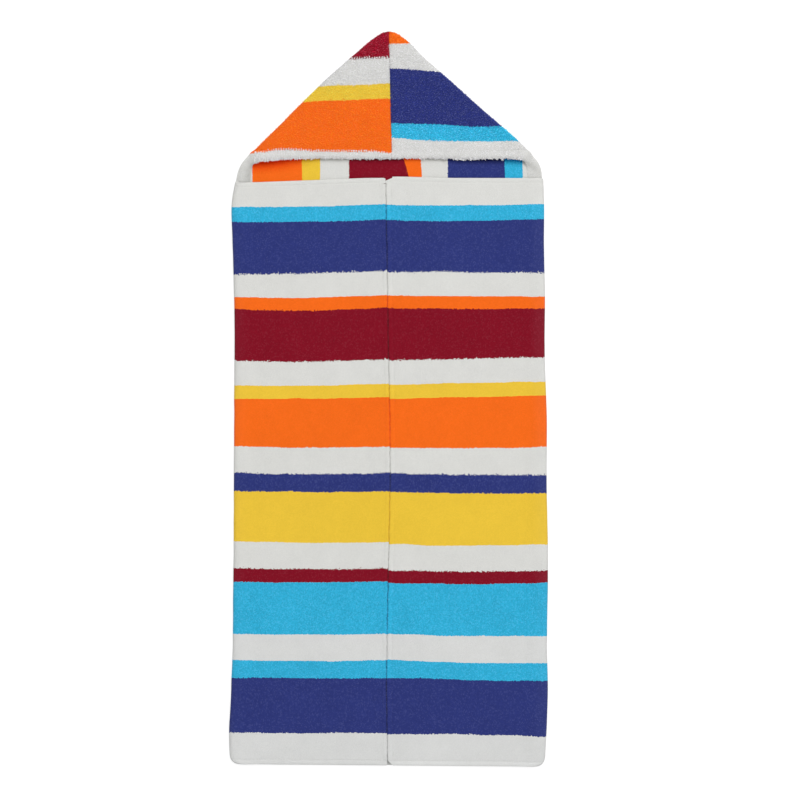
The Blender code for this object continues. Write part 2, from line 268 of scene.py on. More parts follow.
def soft_bumps(x, y, size, seed):
    """Smooth random values from -1 to 1, in bumps about size millimetres across."""
    grid = np.random.default_rng(seed).uniform(-1, 1, (BUMP_GRID, BUMP_GRID))
    u, v = np.broadcast_arrays(np.asarray(x, float) / size, np.asarray(y, float) / size)
    i, j = np.floor(u).astype(int), np.floor(v).astype(int)
    s, t = u - i, v - j
    s, t = s * s * (3 - 2 * s), t * t * (3 - 2 * t)
    i, j, next_i, next_j = (n % BUMP_GRID for n in (i, j, i + 1, j + 1))
    near = grid[i, j] * (1 - s) + grid[next_i, j] * s
    far = grid[i, next_j] * (1 - s) + grid[next_i, next_j] * s
    return near * (1 - t) + far * t


print("bump sample:", np.round(soft_bumps([0, 3, 6], 0, 10, 1), 2))

# %% [markdown]
# ## A slice of folded cloth
# Cut across, both the body and the hood look like a flat letter C: a front, a round fold, the back,
# another round fold and the other front. One function draws many such slices at once, as an outer
# face and an inner face a cloth's thickness apart. Modelling the C as one sheet, rather than as
# separate front and back panels, gives the folds their true roundness and lets the stripes run on
# round them.

# %% Columns across the C
FRONT_COLUMNS = 46
FOLD_FACES = 12
SHARES = np.linspace(0.0, 1.0, FRONT_COLUMNS)
TURN = np.pi * (0.5 - np.arange(1, FOLD_FACES) / FOLD_FACES)  # angle round a fold, from its top
QUARTER = FRONT_COLUMNS - 1 + FOLD_FACES // 2  # columns from a front's edge to its fold
BEYOND_FOLD = FRONT_COLUMNS - 1 + FOLD_FACES  # the first column of the back
HALF_COLUMNS = 2 * FRONT_COLUMNS + FOLD_FACES - 1  # from a front's edge to the back's middle
half_front = np.hstack([np.ones(FRONT_COLUMNS), (1 + np.sin(TURN)) / 2, np.zeros(FRONT_COLUMNS)])
FRONTNESS = np.hstack([half_front, half_front[-2::-1]])  # 1 on the fronts, 0 on the back
SHEEN_FADE = 14  # the painted sheen of a fold dies out over a front's width divided by this
# painted sheen: the pale ground shows along the side folds, where they catch the light
half_worn = np.hstack([fade((1 - SHARES) * SHEEN_FADE), np.ones(FOLD_FACES - 1), fade(SHARES * SHEEN_FADE)])
PAINTED_SHEEN = np.hstack([0.35 * half_worn, half_worn[-2::-1]])  # stronger on the right, facing the lamp


def wrap(sides, edges, middle, level, fold, slant=1.0, dip=0.0, proud=0.0, pinch=0.0):
    """Slices through cloth folded to the front: x and z of its outer face, then of its inner.
    proud raises the outer face, and pinch draws both faces in."""
    numbers = (middle, level, fold, dip, proud, pinch)
    middle, level, fold, dip, proud, pinch = (
        np.reshape(v + np.zeros(len(middle)), (-1, 1)) for v in numbers
    )
    radius = fold / 2
    halves = []
    for side_x, edge_x, side in zip(sides, edges, (-1, 1)):
        side_x, edge_x = np.reshape(side_x, (-1, 1)), np.reshape(edge_x, (-1, 1))
        axis_x = side_x - side * radius * slant
        x = edge_x + (axis_x - edge_x) * SHARES
        top = level + (fold - level) * fade(abs(axis_x - x) / FOLD_REACH)
        top = top - dip * fade(abs(x - edge_x) / SEAM_REACH)
        back_x = middle + (axis_x - middle) * SHARES[::-1]
        faces = []
        for out, flat_top, flat_back in (
            (radius + proud * np.maximum(np.sin(TURN), 0) - pinch, top + proud - pinch, pinch),
            (radius - CLOTH + pinch + 0 * TURN, top - CLOTH + pinch, CLOTH - pinch),
        ):
            faces.append(np.hstack([x, axis_x + side * out * slant * np.cos(TURN), back_x]))
            faces.append(np.hstack([flat_top, radius + out * np.sin(TURN), flat_back + 0 * back_x]))
        halves.append(faces)
    return [np.hstack([a, b[:, -2::-1]]) for a, b in zip(*halves)]


print("slices have", len(FRONTNESS), "columns")

# %% [markdown]
# ## From slices to a closed sheet of cloth
# A mesh with both faces and a rim behaves well in any light and in any other program, so each piece
# is a closed shell and not a single skin. The faces could be made one by one with bmesh, but numpy
# lays out the whole grid at once, which is far quicker. Each point also carries named numbers, such
# as its place in the stripe plan, which the finishes read.

# %% A mesh from arrays
def finish_mesh(name, points, faces, marks, angle=50):
    """A mesh object from points in mm, with its marks, its faces turned outwards, and linked."""
    mesh = bpy.data.meshes.new(name)
    used = np.unique(np.concatenate([np.array(face) for face in faces]))
    renumber = np.zeros(len(points), int)
    renumber[used] = np.arange(len(used))
    mesh.from_pydata(points[used] * MM, [], [renumber[list(face)].tolist() for face in faces])
    for key, values in marks.items():
        mark = mesh.attributes.new(key, "FLOAT", "POINT")
        mark.data.foreach_set("value", values[used].astype(np.float32))
    mesh.calc_loop_triangles()
    corners = points[used][np.array([t.vertices for t in mesh.loop_triangles])]
    if np.linalg.det(corners).sum() < 0:
        mesh.flip_normals()
    mesh.shade_smooth()
    mesh.set_sharp_from_angle(angle=math.radians(angle))
    piece = bpy.data.objects.new(name, mesh)
    scene.collection.objects.link(piece)
    print(f"{name}: {len(mesh.loop_triangles)} triangles")
    return piece


print("meshes are made in millimetres and kept in metres, so", 1 / MM, "to 1")

# %% Closed cloth from two grids
def cloth_shell(name, outer, inner, cells=None, tip=(), **marks):
    """A closed sheet between two grids of points in mm, of the cells given. marks are numbers
    for its points, as one grid for both faces or as a pair."""
    rows, columns = outer.shape[:2]
    index = np.arange(rows * columns).reshape(rows, columns)
    below = rows * columns
    cells = np.ones((rows - 1, columns - 1), bool) if cells is None else cells
    a, b, c, d = index[:-1, :-1], index[:-1, 1:], index[1:, 1:], index[1:, :-1]
    around = np.pad(cells, 1)
    if len(tip):
        around[-1] = True
    faces = [np.stack([a, b, c, d], -1)[cells], np.stack([d, c, b, a], -1)[cells] + below]
    for p, q, beside in (
        (a, b, around[:-2, 1:-1]),
        (b, c, around[1:-1, 2:]),
        (c, d, around[2:, 1:-1]),
        (d, a, around[1:-1, :-2]),
    ):
        faces.append(np.stack([q, p, p + below, q + below], -1)[cells & ~beside])
    points = np.concatenate([outer.reshape(-1, 3), inner.reshape(-1, 3)])
    faces = [tuple(face) for face in np.concatenate(faces)] + [tuple(face) for face in tip]
    marks = {key: np.concatenate([np.ravel(v) for v in pair]) for key, pair in marks.items()}
    return finish_mesh(name, points, faces, marks)


print("a shell has", 2 * len(FRONTNESS), "points to a slice of the C")

# %% [markdown]
# ## The stripes
# The stripes are woven in: the dyed pile yarns change colour every so often, and the cloth is cut
# so that the stripes run across the towel. A stripe therefore has one place in the cut cloth, while
# on the folded towel it drifts by a few millimetres from side to side. The table gives where each
# stripe starts at four places across: the left fold, the left and right of the middle line, and the
# right fold. The mean of the four is the place in the stripe plan. Two columns say how far the
# edge sags halfway across each front, and the last one how ragged it is: where a dark stripe ends
# on a light one, dark tufts stray over the line. An image painted on the cloth could carry the
# stripes too, but with numbers they stay sharp at any size.

# %% Stripe plan of the body
# Dye, start at the four places, sag across the left and the right front, raggedness.
BODY_STRIPES = (
    ("white", 0, 0, 0, 0, 0, 0, 0),
    ("cyan", 43, 38.5, 39.5, 38.5, 1, 1, 0.3),
    ("navy", 66, 62, 63, 61.5, 1, 2, 0.9),
    ("white", 147, 141.5, 143, 144, 0.5, -0.5, 3.2),
    ("orange", 181, 178, 178.5, 179.5, 2, 0.5, 0.3),
    ("crimson", 199.5, 197, 198, 198, 3.5, 1, 1.6),
    ("white", 278.5, 276.5, 278.5, 273.5, 2.5, -0.5, 2.6),
    ("yellow", 316, 313.5, 315, 310.5, 2, -0.5, 0.1),
    ("orange", 337, 334, 336.5, 331.5, 1, 0.5, 0.3),
    ("white", 410, 410, 412, 410.5, 1.5, 1.5, 1.1),
    ("navy", 450.5, 450.5, 451.5, 454, 2, 1, 2.6),
    ("yellow", 479, 478.5, 480, 481, 1, 2, 1.5),
    ("white", 554.5, 556.5, 560, 560, 2, 2, 0.2),
    ("crimson", 596.5, 597, 600.5, 600, 1.5, 1.5, 2.2),
    ("cyan", 617.5, 617, 619, 618.5, 1, 2, 0.7),
    ("cool_white", 697.5, 697.5, 697, 701, 1, 1.5, 0.6),
    ("cyan", 737, 738, 737, 742, 1.5, 2, 0.3),
    ("navy", 764.5, 765, 764.5, 769, 0.5, 1, 1),
    ("cool_white", 849, 849.5, 851.5, 855, 0, -1.5, 1.3),
)
PLAN_NAMES = ("left", "mid_left", "mid_right", "right", "bow_left", "bow_right", "rag")
body_plan = columns_of([row[1:] for row in BODY_STRIPES], *PLAN_NAMES)
body_edges = np.stack([body_plan[name] for name in PLAN_NAMES[:4]], axis=1)
body_bows = np.stack([body_plan[name] for name in PLAN_NAMES[4:6]], axis=1)
body_starts = body_edges.mean(axis=1)


def body_stripe_place(down, mix):
    """Places in the stripe plan of points this far down. mix has, for each column, the shares of
    the table's four places."""
    knots = np.vstack([body_edges, np.full(4, BODY_LENGTH)])
    bows = np.vstack([body_bows, np.zeros(2)])
    plan = np.append(body_starts, BODY_LENGTH)
    places = []
    for column, shares in zip(down.T, mix):
        left, mid_left, mid_right, right = shares
        bend = np.array((4 * left * mid_left, 4 * right * mid_right))
        places.append(np.interp(column, knots @ shares + bows @ bend, plan))
    return np.stack(places, axis=1)


half_mix = np.zeros((HALF_COLUMNS, 4))
half_mix[:FRONT_COLUMNS, 1], half_mix[:FRONT_COLUMNS, 0] = 1 - SHARES, SHARES
half_mix[FRONT_COLUMNS:BEYOND_FOLD, 0] = 1
half_mix[BEYOND_FOLD:, 0], half_mix[BEYOND_FOLD:, 3] = 1 - SHARES / 2, SHARES / 2
C_MIX = np.vstack([half_mix, half_mix[-2::-1, ::-1]])
print(len(BODY_STRIPES), "stripes over", BODY_LENGTH, "mm")

# %% [markdown]
# On the hood the same striped cloth is turned, so that its stripes run up and down on the back, and
# the two corners that are folded over bring them level again. The table gives the place across the
# back where each stripe starts, and how high that edge crosses a flap, at five places from the seam
# to the fold. Between these a flap point's height says where in the plan it lies. Near the folds the
# two ways of counting differ by a few millimetres, because no fold is exact, and the back takes up
# the difference. The lowest edge on the left runs along the brim and wanders more, so it has a line
# of its own.

# %% Stripe plan of the hood
# Dye, start across the back, heights on the flap, raggedness.
HOOD_STRIPES = (
    ("white", -240, None, 0),
    ("orange", -209.5, (BRIM_UP,) * 5, 0.8),
    ("yellow", -132.5, (124.2, 122.3, 121.2, 120.6, 117.9), 0.5),
    ("white", -105, (147.0, 145.0, 144.0, 144.5, 142.3), 0.5),
    ("crimson", -60.5, (186.2, 186.0, 185.4, 184.9, 184.4), 0.9),
    ("orange", 27, None, 0.6),
    ("white", 50.5, (208.0, 207.8, 207.5, 207.5, 207.5), 0.5),
    ("navy", 90.5, (170.0, 169.0, 168.0, 166.0, 164.0), 0.9),
    ("cyan", 178.5, (86.3, 84.1, 83.4, 79.8, 80.6), 0.9),
    ("white", 206, (64.1, 59.3, 58.2, 58.0, 58.5), 0.7),
)
# Lower end of the orange on the left of the brim: x, and how far up.
BRIM_EDGE = (
    (-216, 35.5), (-205, 38.8), (-194, 40.8), (-174, 44.8), (-151, 45.7), (-128, 43.9),
    (-113, 42.6), (-60, 42.2), (-19, 42.4), (-8, 40.2), (5, 40.2),
)
QUARTERS = np.linspace(0, 1, 5)
BRIM_PLACE = 225.0  # place in the plan, right and left, of a flap where it meets the brim's hem
BRIM_BASE = 28.0  # and how far up that is counted from
TIP_PLACE = {-1: -19.0, 1: 29.5}  # what shows at the tip: crimson on the left, orange on the right


def flap_place(x, up, side):
    """Place in the hood's stripe plan of points of a flap."""
    rows = [row for row in HOOD_STRIPES[::-side] if row[2] and row[1] * side > 0]
    seam_x = np.interp(up, hood_line["up"], hood_line["meeting"])
    fold_x = np.interp(up, hood_line["up"], hood_line["left" if side < 0 else "right"])
    share = np.clip((x - seam_x) / (fold_x - seam_x), 0, 1)
    if side < 0:
        wander = np.interp(x, *np.array(BRIM_EDGE).T) - BRIM_UP
        up = up - wander * fade(abs(up - BRIM_UP) / 14)
    heights = [BRIM_BASE, *(np.interp(share, QUARTERS, row[2]) for row in rows), HOOD_RISE]
    plan = [side * BRIM_PLACE, *(row[1] for row in rows), TIP_PLACE[side]]
    place = plan[0] + 0 * up
    for low, high, start, end in zip(heights, heights[1:], plan, plan[1:]):
        place = place + (end - start) * np.clip((up - low) / (high - low), 0, 1)
    return place


def back_place(x, up, folds=None):
    """Place in the hood's stripe plan of a point of its back. Near the neck seam, the stripe edge
    beside the middle is pulled askew."""
    askew = 6.2 - 0.31 * np.clip(up, 0, BRIM_UP)
    place = x - askew * fade(abs(x - 27) / 35)
    for side, fold_x in zip((-1, 1), folds or ()):
        near = fade(abs(x - fold_x) / 45)
        place = place + (flap_place(fold_x, up, side) - fold_x) * near * (up > BRIM_UP)
    return place


print("hood:", ", ".join(row[0] for row in HOOD_STRIPES))

# %% [markdown]
# ## Finishes
# Terry has two looks. On the body the pile is sheared to a velvet, with tiny light flecks where the
# ground shows between the tufts. On the hood's outside the loops are left whole. Both are made from
# the same nodes: the stripe place, nudged by noise so that the edges are ragged, is compared with
# each stripe's start, and each comparison swaps in the next colour. A colour ramp would be shorter,
# but it rounds its stops to a coarse table and the stripe edges would land in the wrong place.

# %% Dyes
# Dye: its colour, and from 0 to 1 how much its tufts differ in tone and let the ground show.
BODY_DYES = {
    "white": ((0.670, 0.670, 0.645), 0.0),
    # painted light: the same white, a shade cooler, for the two lowest white stripes, which lie in cooler
    # light
    "cool_white": ((0.661, 0.666, 0.657), 0.0),
    "cyan": ((0.030, 0.409, 0.655), 0.46),
    "navy": ((0.0265, 0.0375, 0.182), 0.28),
    "orange": ((0.885, 0.141, 0.010), 0.04),
    "crimson": ((0.213, 0.0048, 0.016), 0.13),
    "yellow": ((0.800, 0.528, 0.0445), 0.03),
}
HOOD_DYES = {  # loops shade each other, so the same yarn needs a lighter number here
    "white": ((0.895, 0.890, 0.905), 0.1),
    "cyan": ((0.062, 0.760, 0.985), 1.0),
    "navy": ((0.041, 0.058, 0.350), 0.65),
    "orange": ((0.995, 0.275, 0.016), 0.10),
    "crimson": ((0.650, 0.0100, 0.052), 0.5),
    "yellow": ((0.932, 0.805, 0.110), 0.05),
}
print("dyes:", ", ".join(BODY_DYES))

# %% Helpers for finishes
def maths(tree, operation, *sources):
    """The socket of a Math node."""
    return node(tree, "ShaderNodeMath", *sources, operation=operation).outputs[0]


def sum_of(tree, one, two, times=None):
    """The socket of one + two, or of one + two * times."""
    if times is not None:
        return maths(tree, "MULTIPLY_ADD", two, times, one)
    return maths(tree, "ADD", one, two)


def mark_of(tree, name):
    """The socket of one of the marks that the points of a piece carry."""
    return node(tree, "ShaderNodeAttribute", attribute_name=name).outputs["Fac"]


def mixed(tree, share, one, two, how="MIX"):
    """The socket of a colour between two others, each a socket or a plain colour."""
    made = node(tree, "ShaderNodeMix", data_type="RGBA", blend_type=how)
    for i, source in zip((0, 6, 7), (share, one, two)):
        feed(tree, made.inputs[i], source)
    return made.outputs[2]


def noise(tree, where, scale, detail=2.0):
    """The socket of smooth noise from 0 to 1, with scale bumps to the metre."""
    made = fed_by_name(tree, node(tree, "ShaderNodeTexNoise"), Vector=where, Scale=scale, Detail=detail)
    return made.outputs["Fac"]


def bumpy(tree, shader, height, strength, deep):
    """Bumps in the light on a surface, from the socket of their height. They are deep mm deep."""
    bump = node(tree, "ShaderNodeBump")
    fed_by_name(tree, bump, Strength=strength, Distance=deep * MM, Height=height)
    fed_by_name(tree, shader, Normal=bump.outputs[0])


print("helpers:", ", ".join(helper.__name__ for helper in (maths, sum_of, mark_of, mixed, noise, bumpy)))

# %% [markdown]
# The stripe edge is made ragged in three ways. A broad noise bends it by a millimetre or so over
# the width of a hand, as woven stripes do when the cloth is handled. A Voronoi texture cuts the
# surface into cells the size of a tuft, and each point leans to the stripe of its cell's centre, so
# the edge steps from tuft to tuft. A fine noise then lets some tufts stray further, by the
# raggedness given in the table.

# %% Striped terry finish
TUFTS_PER_METRE = 640
TUFT_ORDER = 0.7  # 1 scatters the tufts at random, 0 sets them in a grid
TUFT_HOLD = 0.5  # how far a point leans to the stripe of its tuft's centre
EDGE_WAVE = 4.0  # mm from crest to trough, at most
STRAY = 1.7  # mm


def striped_finish(name, dyes, stripes, starts, rags, loops=False, pile=0.9, pale=0.13):
    """Terry in stripes. The mark called place says where in the stripe plan each point lies."""
    material, tree, shader = new_finish(name)
    here = node(tree, "ShaderNodeTexCoord").outputs["Object"]
    place = mark_of(tree, "place")
    tuft = node(tree, "ShaderNodeTexVoronoi", voronoi_dimensions="3D")
    fed_by_name(tree, tuft, Vector=here, Scale=TUFTS_PER_METRE, Randomness=TUFT_ORDER)
    if loops:
        odd = mark_of(tree, "odd")
    else:
        chances = node(tree, "ShaderNodeSeparateColor", tuft.outputs["Color"])
        odd = chances.outputs[1]
        place = sum_of(tree, place, sum_of(tree, noise(tree, here, 17), -0.5), EDGE_WAVE)
        moved = node(tree, "ShaderNodeVectorMath", here, tuft.outputs["Position"], operation="SUBTRACT")
        step = node(tree, "ShaderNodeSeparateXYZ", moved.outputs[0]).outputs["Y"]
        place = sum_of(tree, place, step, TUFT_HOLD / MM)
        straying = sum_of(tree, noise(tree, here, 420, 1.0), -0.5)
        far = maths(tree, "POWER", chances.outputs[0], 4.0)  # only a few tufts stray far
        straying = sum_of(tree, straying, far, 0.5)
    colour, fleck = dyes[stripes[0]]
    for dye, start, rag in list(zip(stripes, starts, rags))[1:]:
        edge = place if loops else sum_of(tree, place, straying, STRAY * rag)
        past = maths(tree, "GREATER_THAN", edge, float(start))
        next_colour, next_fleck = dyes[dye]
        colour = mixed(tree, past, colour, next_colour)
        shares = node(tree, "ShaderNodeMix", past, None, fleck, next_fleck, data_type="FLOAT")
        fleck = shares.outputs[0]
    finish_pile(tree, shader, here, tuft, odd, colour, fleck, pile, pale)
    return material


print("a tuft is about", round(1 / TUFTS_PER_METRE / MM, 1), "mm wide")


# %% [markdown]
# The pile itself comes last. Each tuft or loop has a random number of its own, called odd, which
# makes it a little lighter or darker than its neighbours, and the lightest ones on a dark dye show
# the pale ground between them. The cloth also varies over the breadth of a finger and of a hand,
# where it was brushed one way or the other. Three marks change it in places, mostly as painted
# light and shade. The first makes it lighter or darker: painted light on the neck hems and on the
# right front's bottom hem, and painted shade in the gap between the fronts, between the teeth, at
# the brim's free edge and on the cheeks. The second is a painted shade that multiplies the dye by
# itself, as deep and rich as light passed from tuft to tuft in a crease, under the brim, in the
# seam and in the gaps. The third lets the pale ground through along the side folds, as a painted
# sheen where they turn to the light. A bump from the
# same Voronoi cells gives each tuft its own small dome. Sheen stands for the fuzz that catches light
# where the cloth turns away. It is one plain number on the shader, so that it also survives an
# export.

# %% Pile of the terry
PALE_GROUND = (0.50, 0.54, 0.66)
PAINTED_SHEEN_PALE = 0.012  # the pale ground that a painted sheen lets through on a fold


def finish_pile(tree, shader, here, tuft, odd, colour, fleck, pile, pale):
    """Tuft-to-tuft colour, pale flecks, painted light and shade from the marks, bump and sheen on
    top of a plain stripe colour.
    """
    # the more a dye is flecked, the more its tone varies: from tuft to tuft, within one, and broadly
    depth = sum_of(tree, 0.04, fleck, 0.50)
    grain = sum_of(tree, 0.02, fleck, 0.32)
    brushed = sum_of(tree, 0.07, fleck, 0.09)
    tone = mark_of(tree, "tone")
    value = sum_of(tree, 1.015, sum_of(tree, odd, -0.5), depth)
    for source, middle, amount in (
        (noise(tree, here, 1900), -0.5, 0.34),
        (noise(tree, here, 480), -0.5, grain),
        (noise(tree, here, 60), -0.5, brushed),
        (noise(tree, here, 14), -0.5, brushed),
        (tone, 0.0, depth),
    ):
        value = sum_of(tree, value, sum_of(tree, source, middle), amount)
    toned = fed_by_name(tree, node(tree, "ShaderNodeHueSaturation"), Value=value, Color=colour)
    # painted shade: where this mark is set, the dye is multiplied by itself and darkens
    toned = mixed(tree, mark_of(tree, "dusk"), toned.outputs[0], toned.outputs[0], "MULTIPLY")
    bare = node(tree, "ShaderNodeMapRange", odd, 0.7, 1.0, 0.0, pale).outputs[0]
    # pale ground between the tufts, and a painted sheen along the side folds
    shown = sum_of(tree, maths(tree, "MULTIPLY", bare, fleck), mark_of(tree, "worn"), PAINTED_SHEEN_PALE)
    dome = maths(tree, "SUBTRACT", 1.0, tuft.outputs["Distance"])
    height = sum_of(tree, noise(tree, here, 780, 4.0), dome, 0.7)
    height = sum_of(tree, height, noise(tree, here, 2600), 1.5)
    bumpy(tree, shader, height, pile, 0.5)
    fed_by_name(
        tree, shader,
        Base_Color=mixed(tree, shown, toned, PALE_GROUND),
        Roughness=0.92, Specular_IOR_Level=0.05, Sheen_Weight=0.20, Sheen_Roughness=0.35,
    )


body_order = ([row[0] for row in BODY_STRIPES], body_starts, body_plan["rag"])
hood_order = [[row[i] for row in HOOD_STRIPES] for i in (0, 1, 3)]
velour = striped_finish("body_velour", BODY_DYES, *body_order)
hood_ground = striped_finish("hood_ground", BODY_DYES, *hood_order)
hood_yarn = striped_finish("hood_yarn", HOOD_DYES, *hood_order, loops=True, pile=0.2, pale=0.36)
print("finishes:", velour.name, hood_ground.name, hood_yarn.name)

# %% [markdown]
# ## The body
# The body is one sheet in the shape of the C, from the hem of the left front round the back to the
# hem of the right front. Its side folds follow the outline table with a little wobble of their own.
# The fronts lie in shallow waves half a millimetre high, which only show as soft changes of tone.
# The back is pressed flat by its own weight, so it has none. A cloth simulation could drop the towel
# on the table, but it lies so flat that this would add little, and the outline would be lost.

# %% Where a point of the body lies
def front_waves(x, down):
    """Height in mm of the soft waves in the fronts."""
    return 0.45 * soft_bumps(x + 500, down, 85, 11) + 0.22 * soft_bumps(x + 500, down, 31, 12)


def body_y(x, down, frontness=1.0):
    """y in mm of points this far down, with the slope of the neck edge and of the bottom edge."""
    lift = np.interp(x, *np.array(NECK_EDGE).T) * fade(down / NECK_BLEND) * frontness
    slant = BOTTOM_SLANT * (x / SLANT_WIDTH) * (down / BODY_LENGTH) ** 2
    return NECK_Y - down + lift - slant


def corner_inset(down):
    """How much the rounded bottom corners take off each side."""
    into = np.clip(down - (BODY_LENGTH - CORNER), 0, CORNER)
    return CORNER - np.sqrt(CORNER**2 - into**2)


def meeting_edges(down, set_back=0.0):
    """x of the left and the right front's edge, each moved back by a hem's width or so."""
    middle = smooth_at(body_line["down"], body_line["meeting"], down)
    apart = 0.45 * fade((BODY_LENGTH - down) / 24)  # the right front has drawn back at the bottom
    wobble = 0.35 * soft_bumps(down, 0, 3.6, 21)  # both edges bend together
    return [
        middle + side * (MEETING_GAP / 2 + set_back) + apart * (side > 0) + wobble
        for side in (-1, 1)
    ]


print("the corners take", np.round(corner_inset(np.array([BODY_LENGTH]))[0], 1), "mm off each side")

# %% Both faces of the body
def body_points(downs, set_back=0.0, proud=0.0, pinch=0.0, notch=(0.0, 0.0)):
    """Outer and inner grid of the body, in mm, and the stripe place of every point."""
    downs = np.asarray(downs, float)
    sides = [
        smooth_at(body_line["down"], body_line[key], downs)
        - side * corner_inset(downs)
        + 0.35 * soft_bumps(downs, side * 60, 24, 22)
        for key, side in (("left", -1), ("right", 1))
    ]
    edges = meeting_edges(downs, set_back)
    edges = [edges[0] - notch[0], edges[1] + notch[1]]
    middle = smooth_at(body_line["down"], body_line["meeting"], downs)
    faces = wrap(sides, edges, middle, FRONT_LEVEL, FOLD_HEIGHT, FOLD_WIDE, proud=proud, pinch=pinch)
    grids, places = [], []
    for x, z in (faces[:2], faces[2:]):
        down = np.broadcast_to(downs[:, None], x.shape)
        y = body_y(x, down, FRONTNESS)
        z = z + front_waves(x, down) * FRONTNESS
        grids.append(np.stack([x, y, z], -1))
        places.append(body_stripe_place(NECK_Y - y, C_MIX))
    return grids[0], grids[1], places


sample, _, _ = body_points([BODY_LENGTH / 2])
print("halfway down, the body is", round(np.ptp(sample[..., 0]), 1), "mm wide")

# %% Body cloth
BODY_ROW = 5.0  # mm between slices

start, end = HEM + HEM_JOIN, BODY_LENGTH - HEM - HEM_JOIN
downs = np.concatenate([[start], np.linspace(NECK_TUCK, end, round((end - NECK_TUCK) / BODY_ROW))])
outer, inner, places = body_points(downs, set_back=HEM + HEM_JOIN)
cells = np.ones((len(downs) - 1, outer.shape[1] - 1), bool)
cells[0, QUARTER:-QUARTER] = False  # the back starts lower, at the neck seam
# a painted sheen along the side folds
worn = np.broadcast_to(PAINTED_SHEEN, outer.shape[:2])
body = cloth_shell("towel_body", outer, inner, cells, place=places, worn=(worn, worn))
body.data.materials.append(velour)
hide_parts("body_cloth")
print("body spans", np.round(np.ptp(outer[..., 0]), 1), "mm across")

# %% [markdown]
# ## The body's hems
# A raw edge of terry sheds, so each is turned under twice and stitched. A hem is therefore a band
# just under a centimetre wide, a little thicker than the cloth, round at its free edge and drawn
# down into a ditch where the stitches hold it. Each hem is its own piece, as in the CAD model. The
# ditch could be a bump in the finish, but then the edge would stay flat seen from the side. The
# numbers below are the shape of that band: how far in from the free edge, and how high or low
# against the plain cloth.

# %% Shape of a hem
HEM_SHAPE = (  # mm in from the free edge, mm above the cloth, mm that each face is drawn in
    (0.0, 0.5, 0.62),
    (0.4, 0.6, 0.30),
    (1.0, 0.7, 0.12),
    (2.0, 0.8, 0.02),
    (3.6, 0.8, 0.0),
    (5.2, 0.6, 0.0),
    (6.3, 0.2, 0.0),
    (7.0, -0.3, 0.0),
    (7.5, -0.45, 0.0),
    (8.1, -0.2, 0.0),
    (9.0, 0.0, 0.0),
)
hem_shape = columns_of(HEM_SHAPE, "into", "proud", "pinch")
slack_hem = np.maximum(0.75 * hem_shape["proud"], -0.10)  # where the stitches hardly draw it down
hem_pieces = []


def dress_hem(piece, node_name):
    """Gives a hem of the body its finish, and lets it stand for its CAD node."""
    piece.data.materials.append(velour)
    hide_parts(node_name)
    hem_pieces.append(piece)


print("a hem is", HEM_SHAPE[-1][0], "mm wide")

# %% Neck hems
downs = hem_shape["into"]
# at the middle the left corner is round, and the right one is drawn back, so that the hood shows
corners = (2.6 * fade(downs / 1.8), 10.0 * fade((downs - 2.6) / 2.4))
outer, inner, places = body_points(downs, proud=slack_hem, pinch=hem_shape["pinch"], notch=corners)
# painted light: the neck hems are drawn lighter, most of all along their top edge
bright = np.broadcast_to(0.45 + 0.5 * fade(downs / 1.6)[:, None], outer.shape[:2])
for part, name in ((slice(0, QUARTER + 1), "left"), (slice(-QUARTER - 1, None), "right")):
    place, tone = [grid[:, part] for grid in places], (bright[:, part], bright[:, part])
    piece = cloth_shell(f"neck_edge_{name}", outer[:, part], inner[:, part], place=place, tone=tone)
    dress_hem(piece, f"neck_hem_{name}")

# %% Bottom hem
downs = BODY_LENGTH - hem_shape["into"][::-1]
gape = np.clip(1 - (BODY_LENGTH - downs) / HEM, 0, 1) ** 1.3
corners = (1.4 * gape, 8.0 * gape)  # at the middle they have drawn apart, the right one more
proud, pinch = hem_shape["proud"][::-1], hem_shape["pinch"][::-1]
outer, inner, places = body_points(downs, proud=proud, pinch=pinch, notch=corners)
into, x = BODY_LENGTH - downs[:, None], outer[..., 0]
painted_hem_light = 0.9 * fade((into - 5) / 2.5) * (x > 2) * FRONTNESS  # painted light, on the right front
# painted shade along the bottom edge, left of the middle
rim_dusk = 0.3 * fade(abs(x + 40) / 60) * fade(into / 1.5) * FRONTNESS
gap_dusk = 0.7 * fade(abs(inner[..., 0] - inner[:, :1, 0]) / 16) * (1 - FRONTNESS)  # painted shade in the notch, on the back
marks = {"place": places, "tone": (painted_hem_light, 0 * painted_hem_light), "dusk": (rim_dusk, gap_dusk)}
dress_hem(cloth_shell("bottom_edge", outer, inner, **marks), "bottom_hem")

# %% Front hems
HEM_ROW = 1.7  # mm between rows, fine enough for the edge to wander

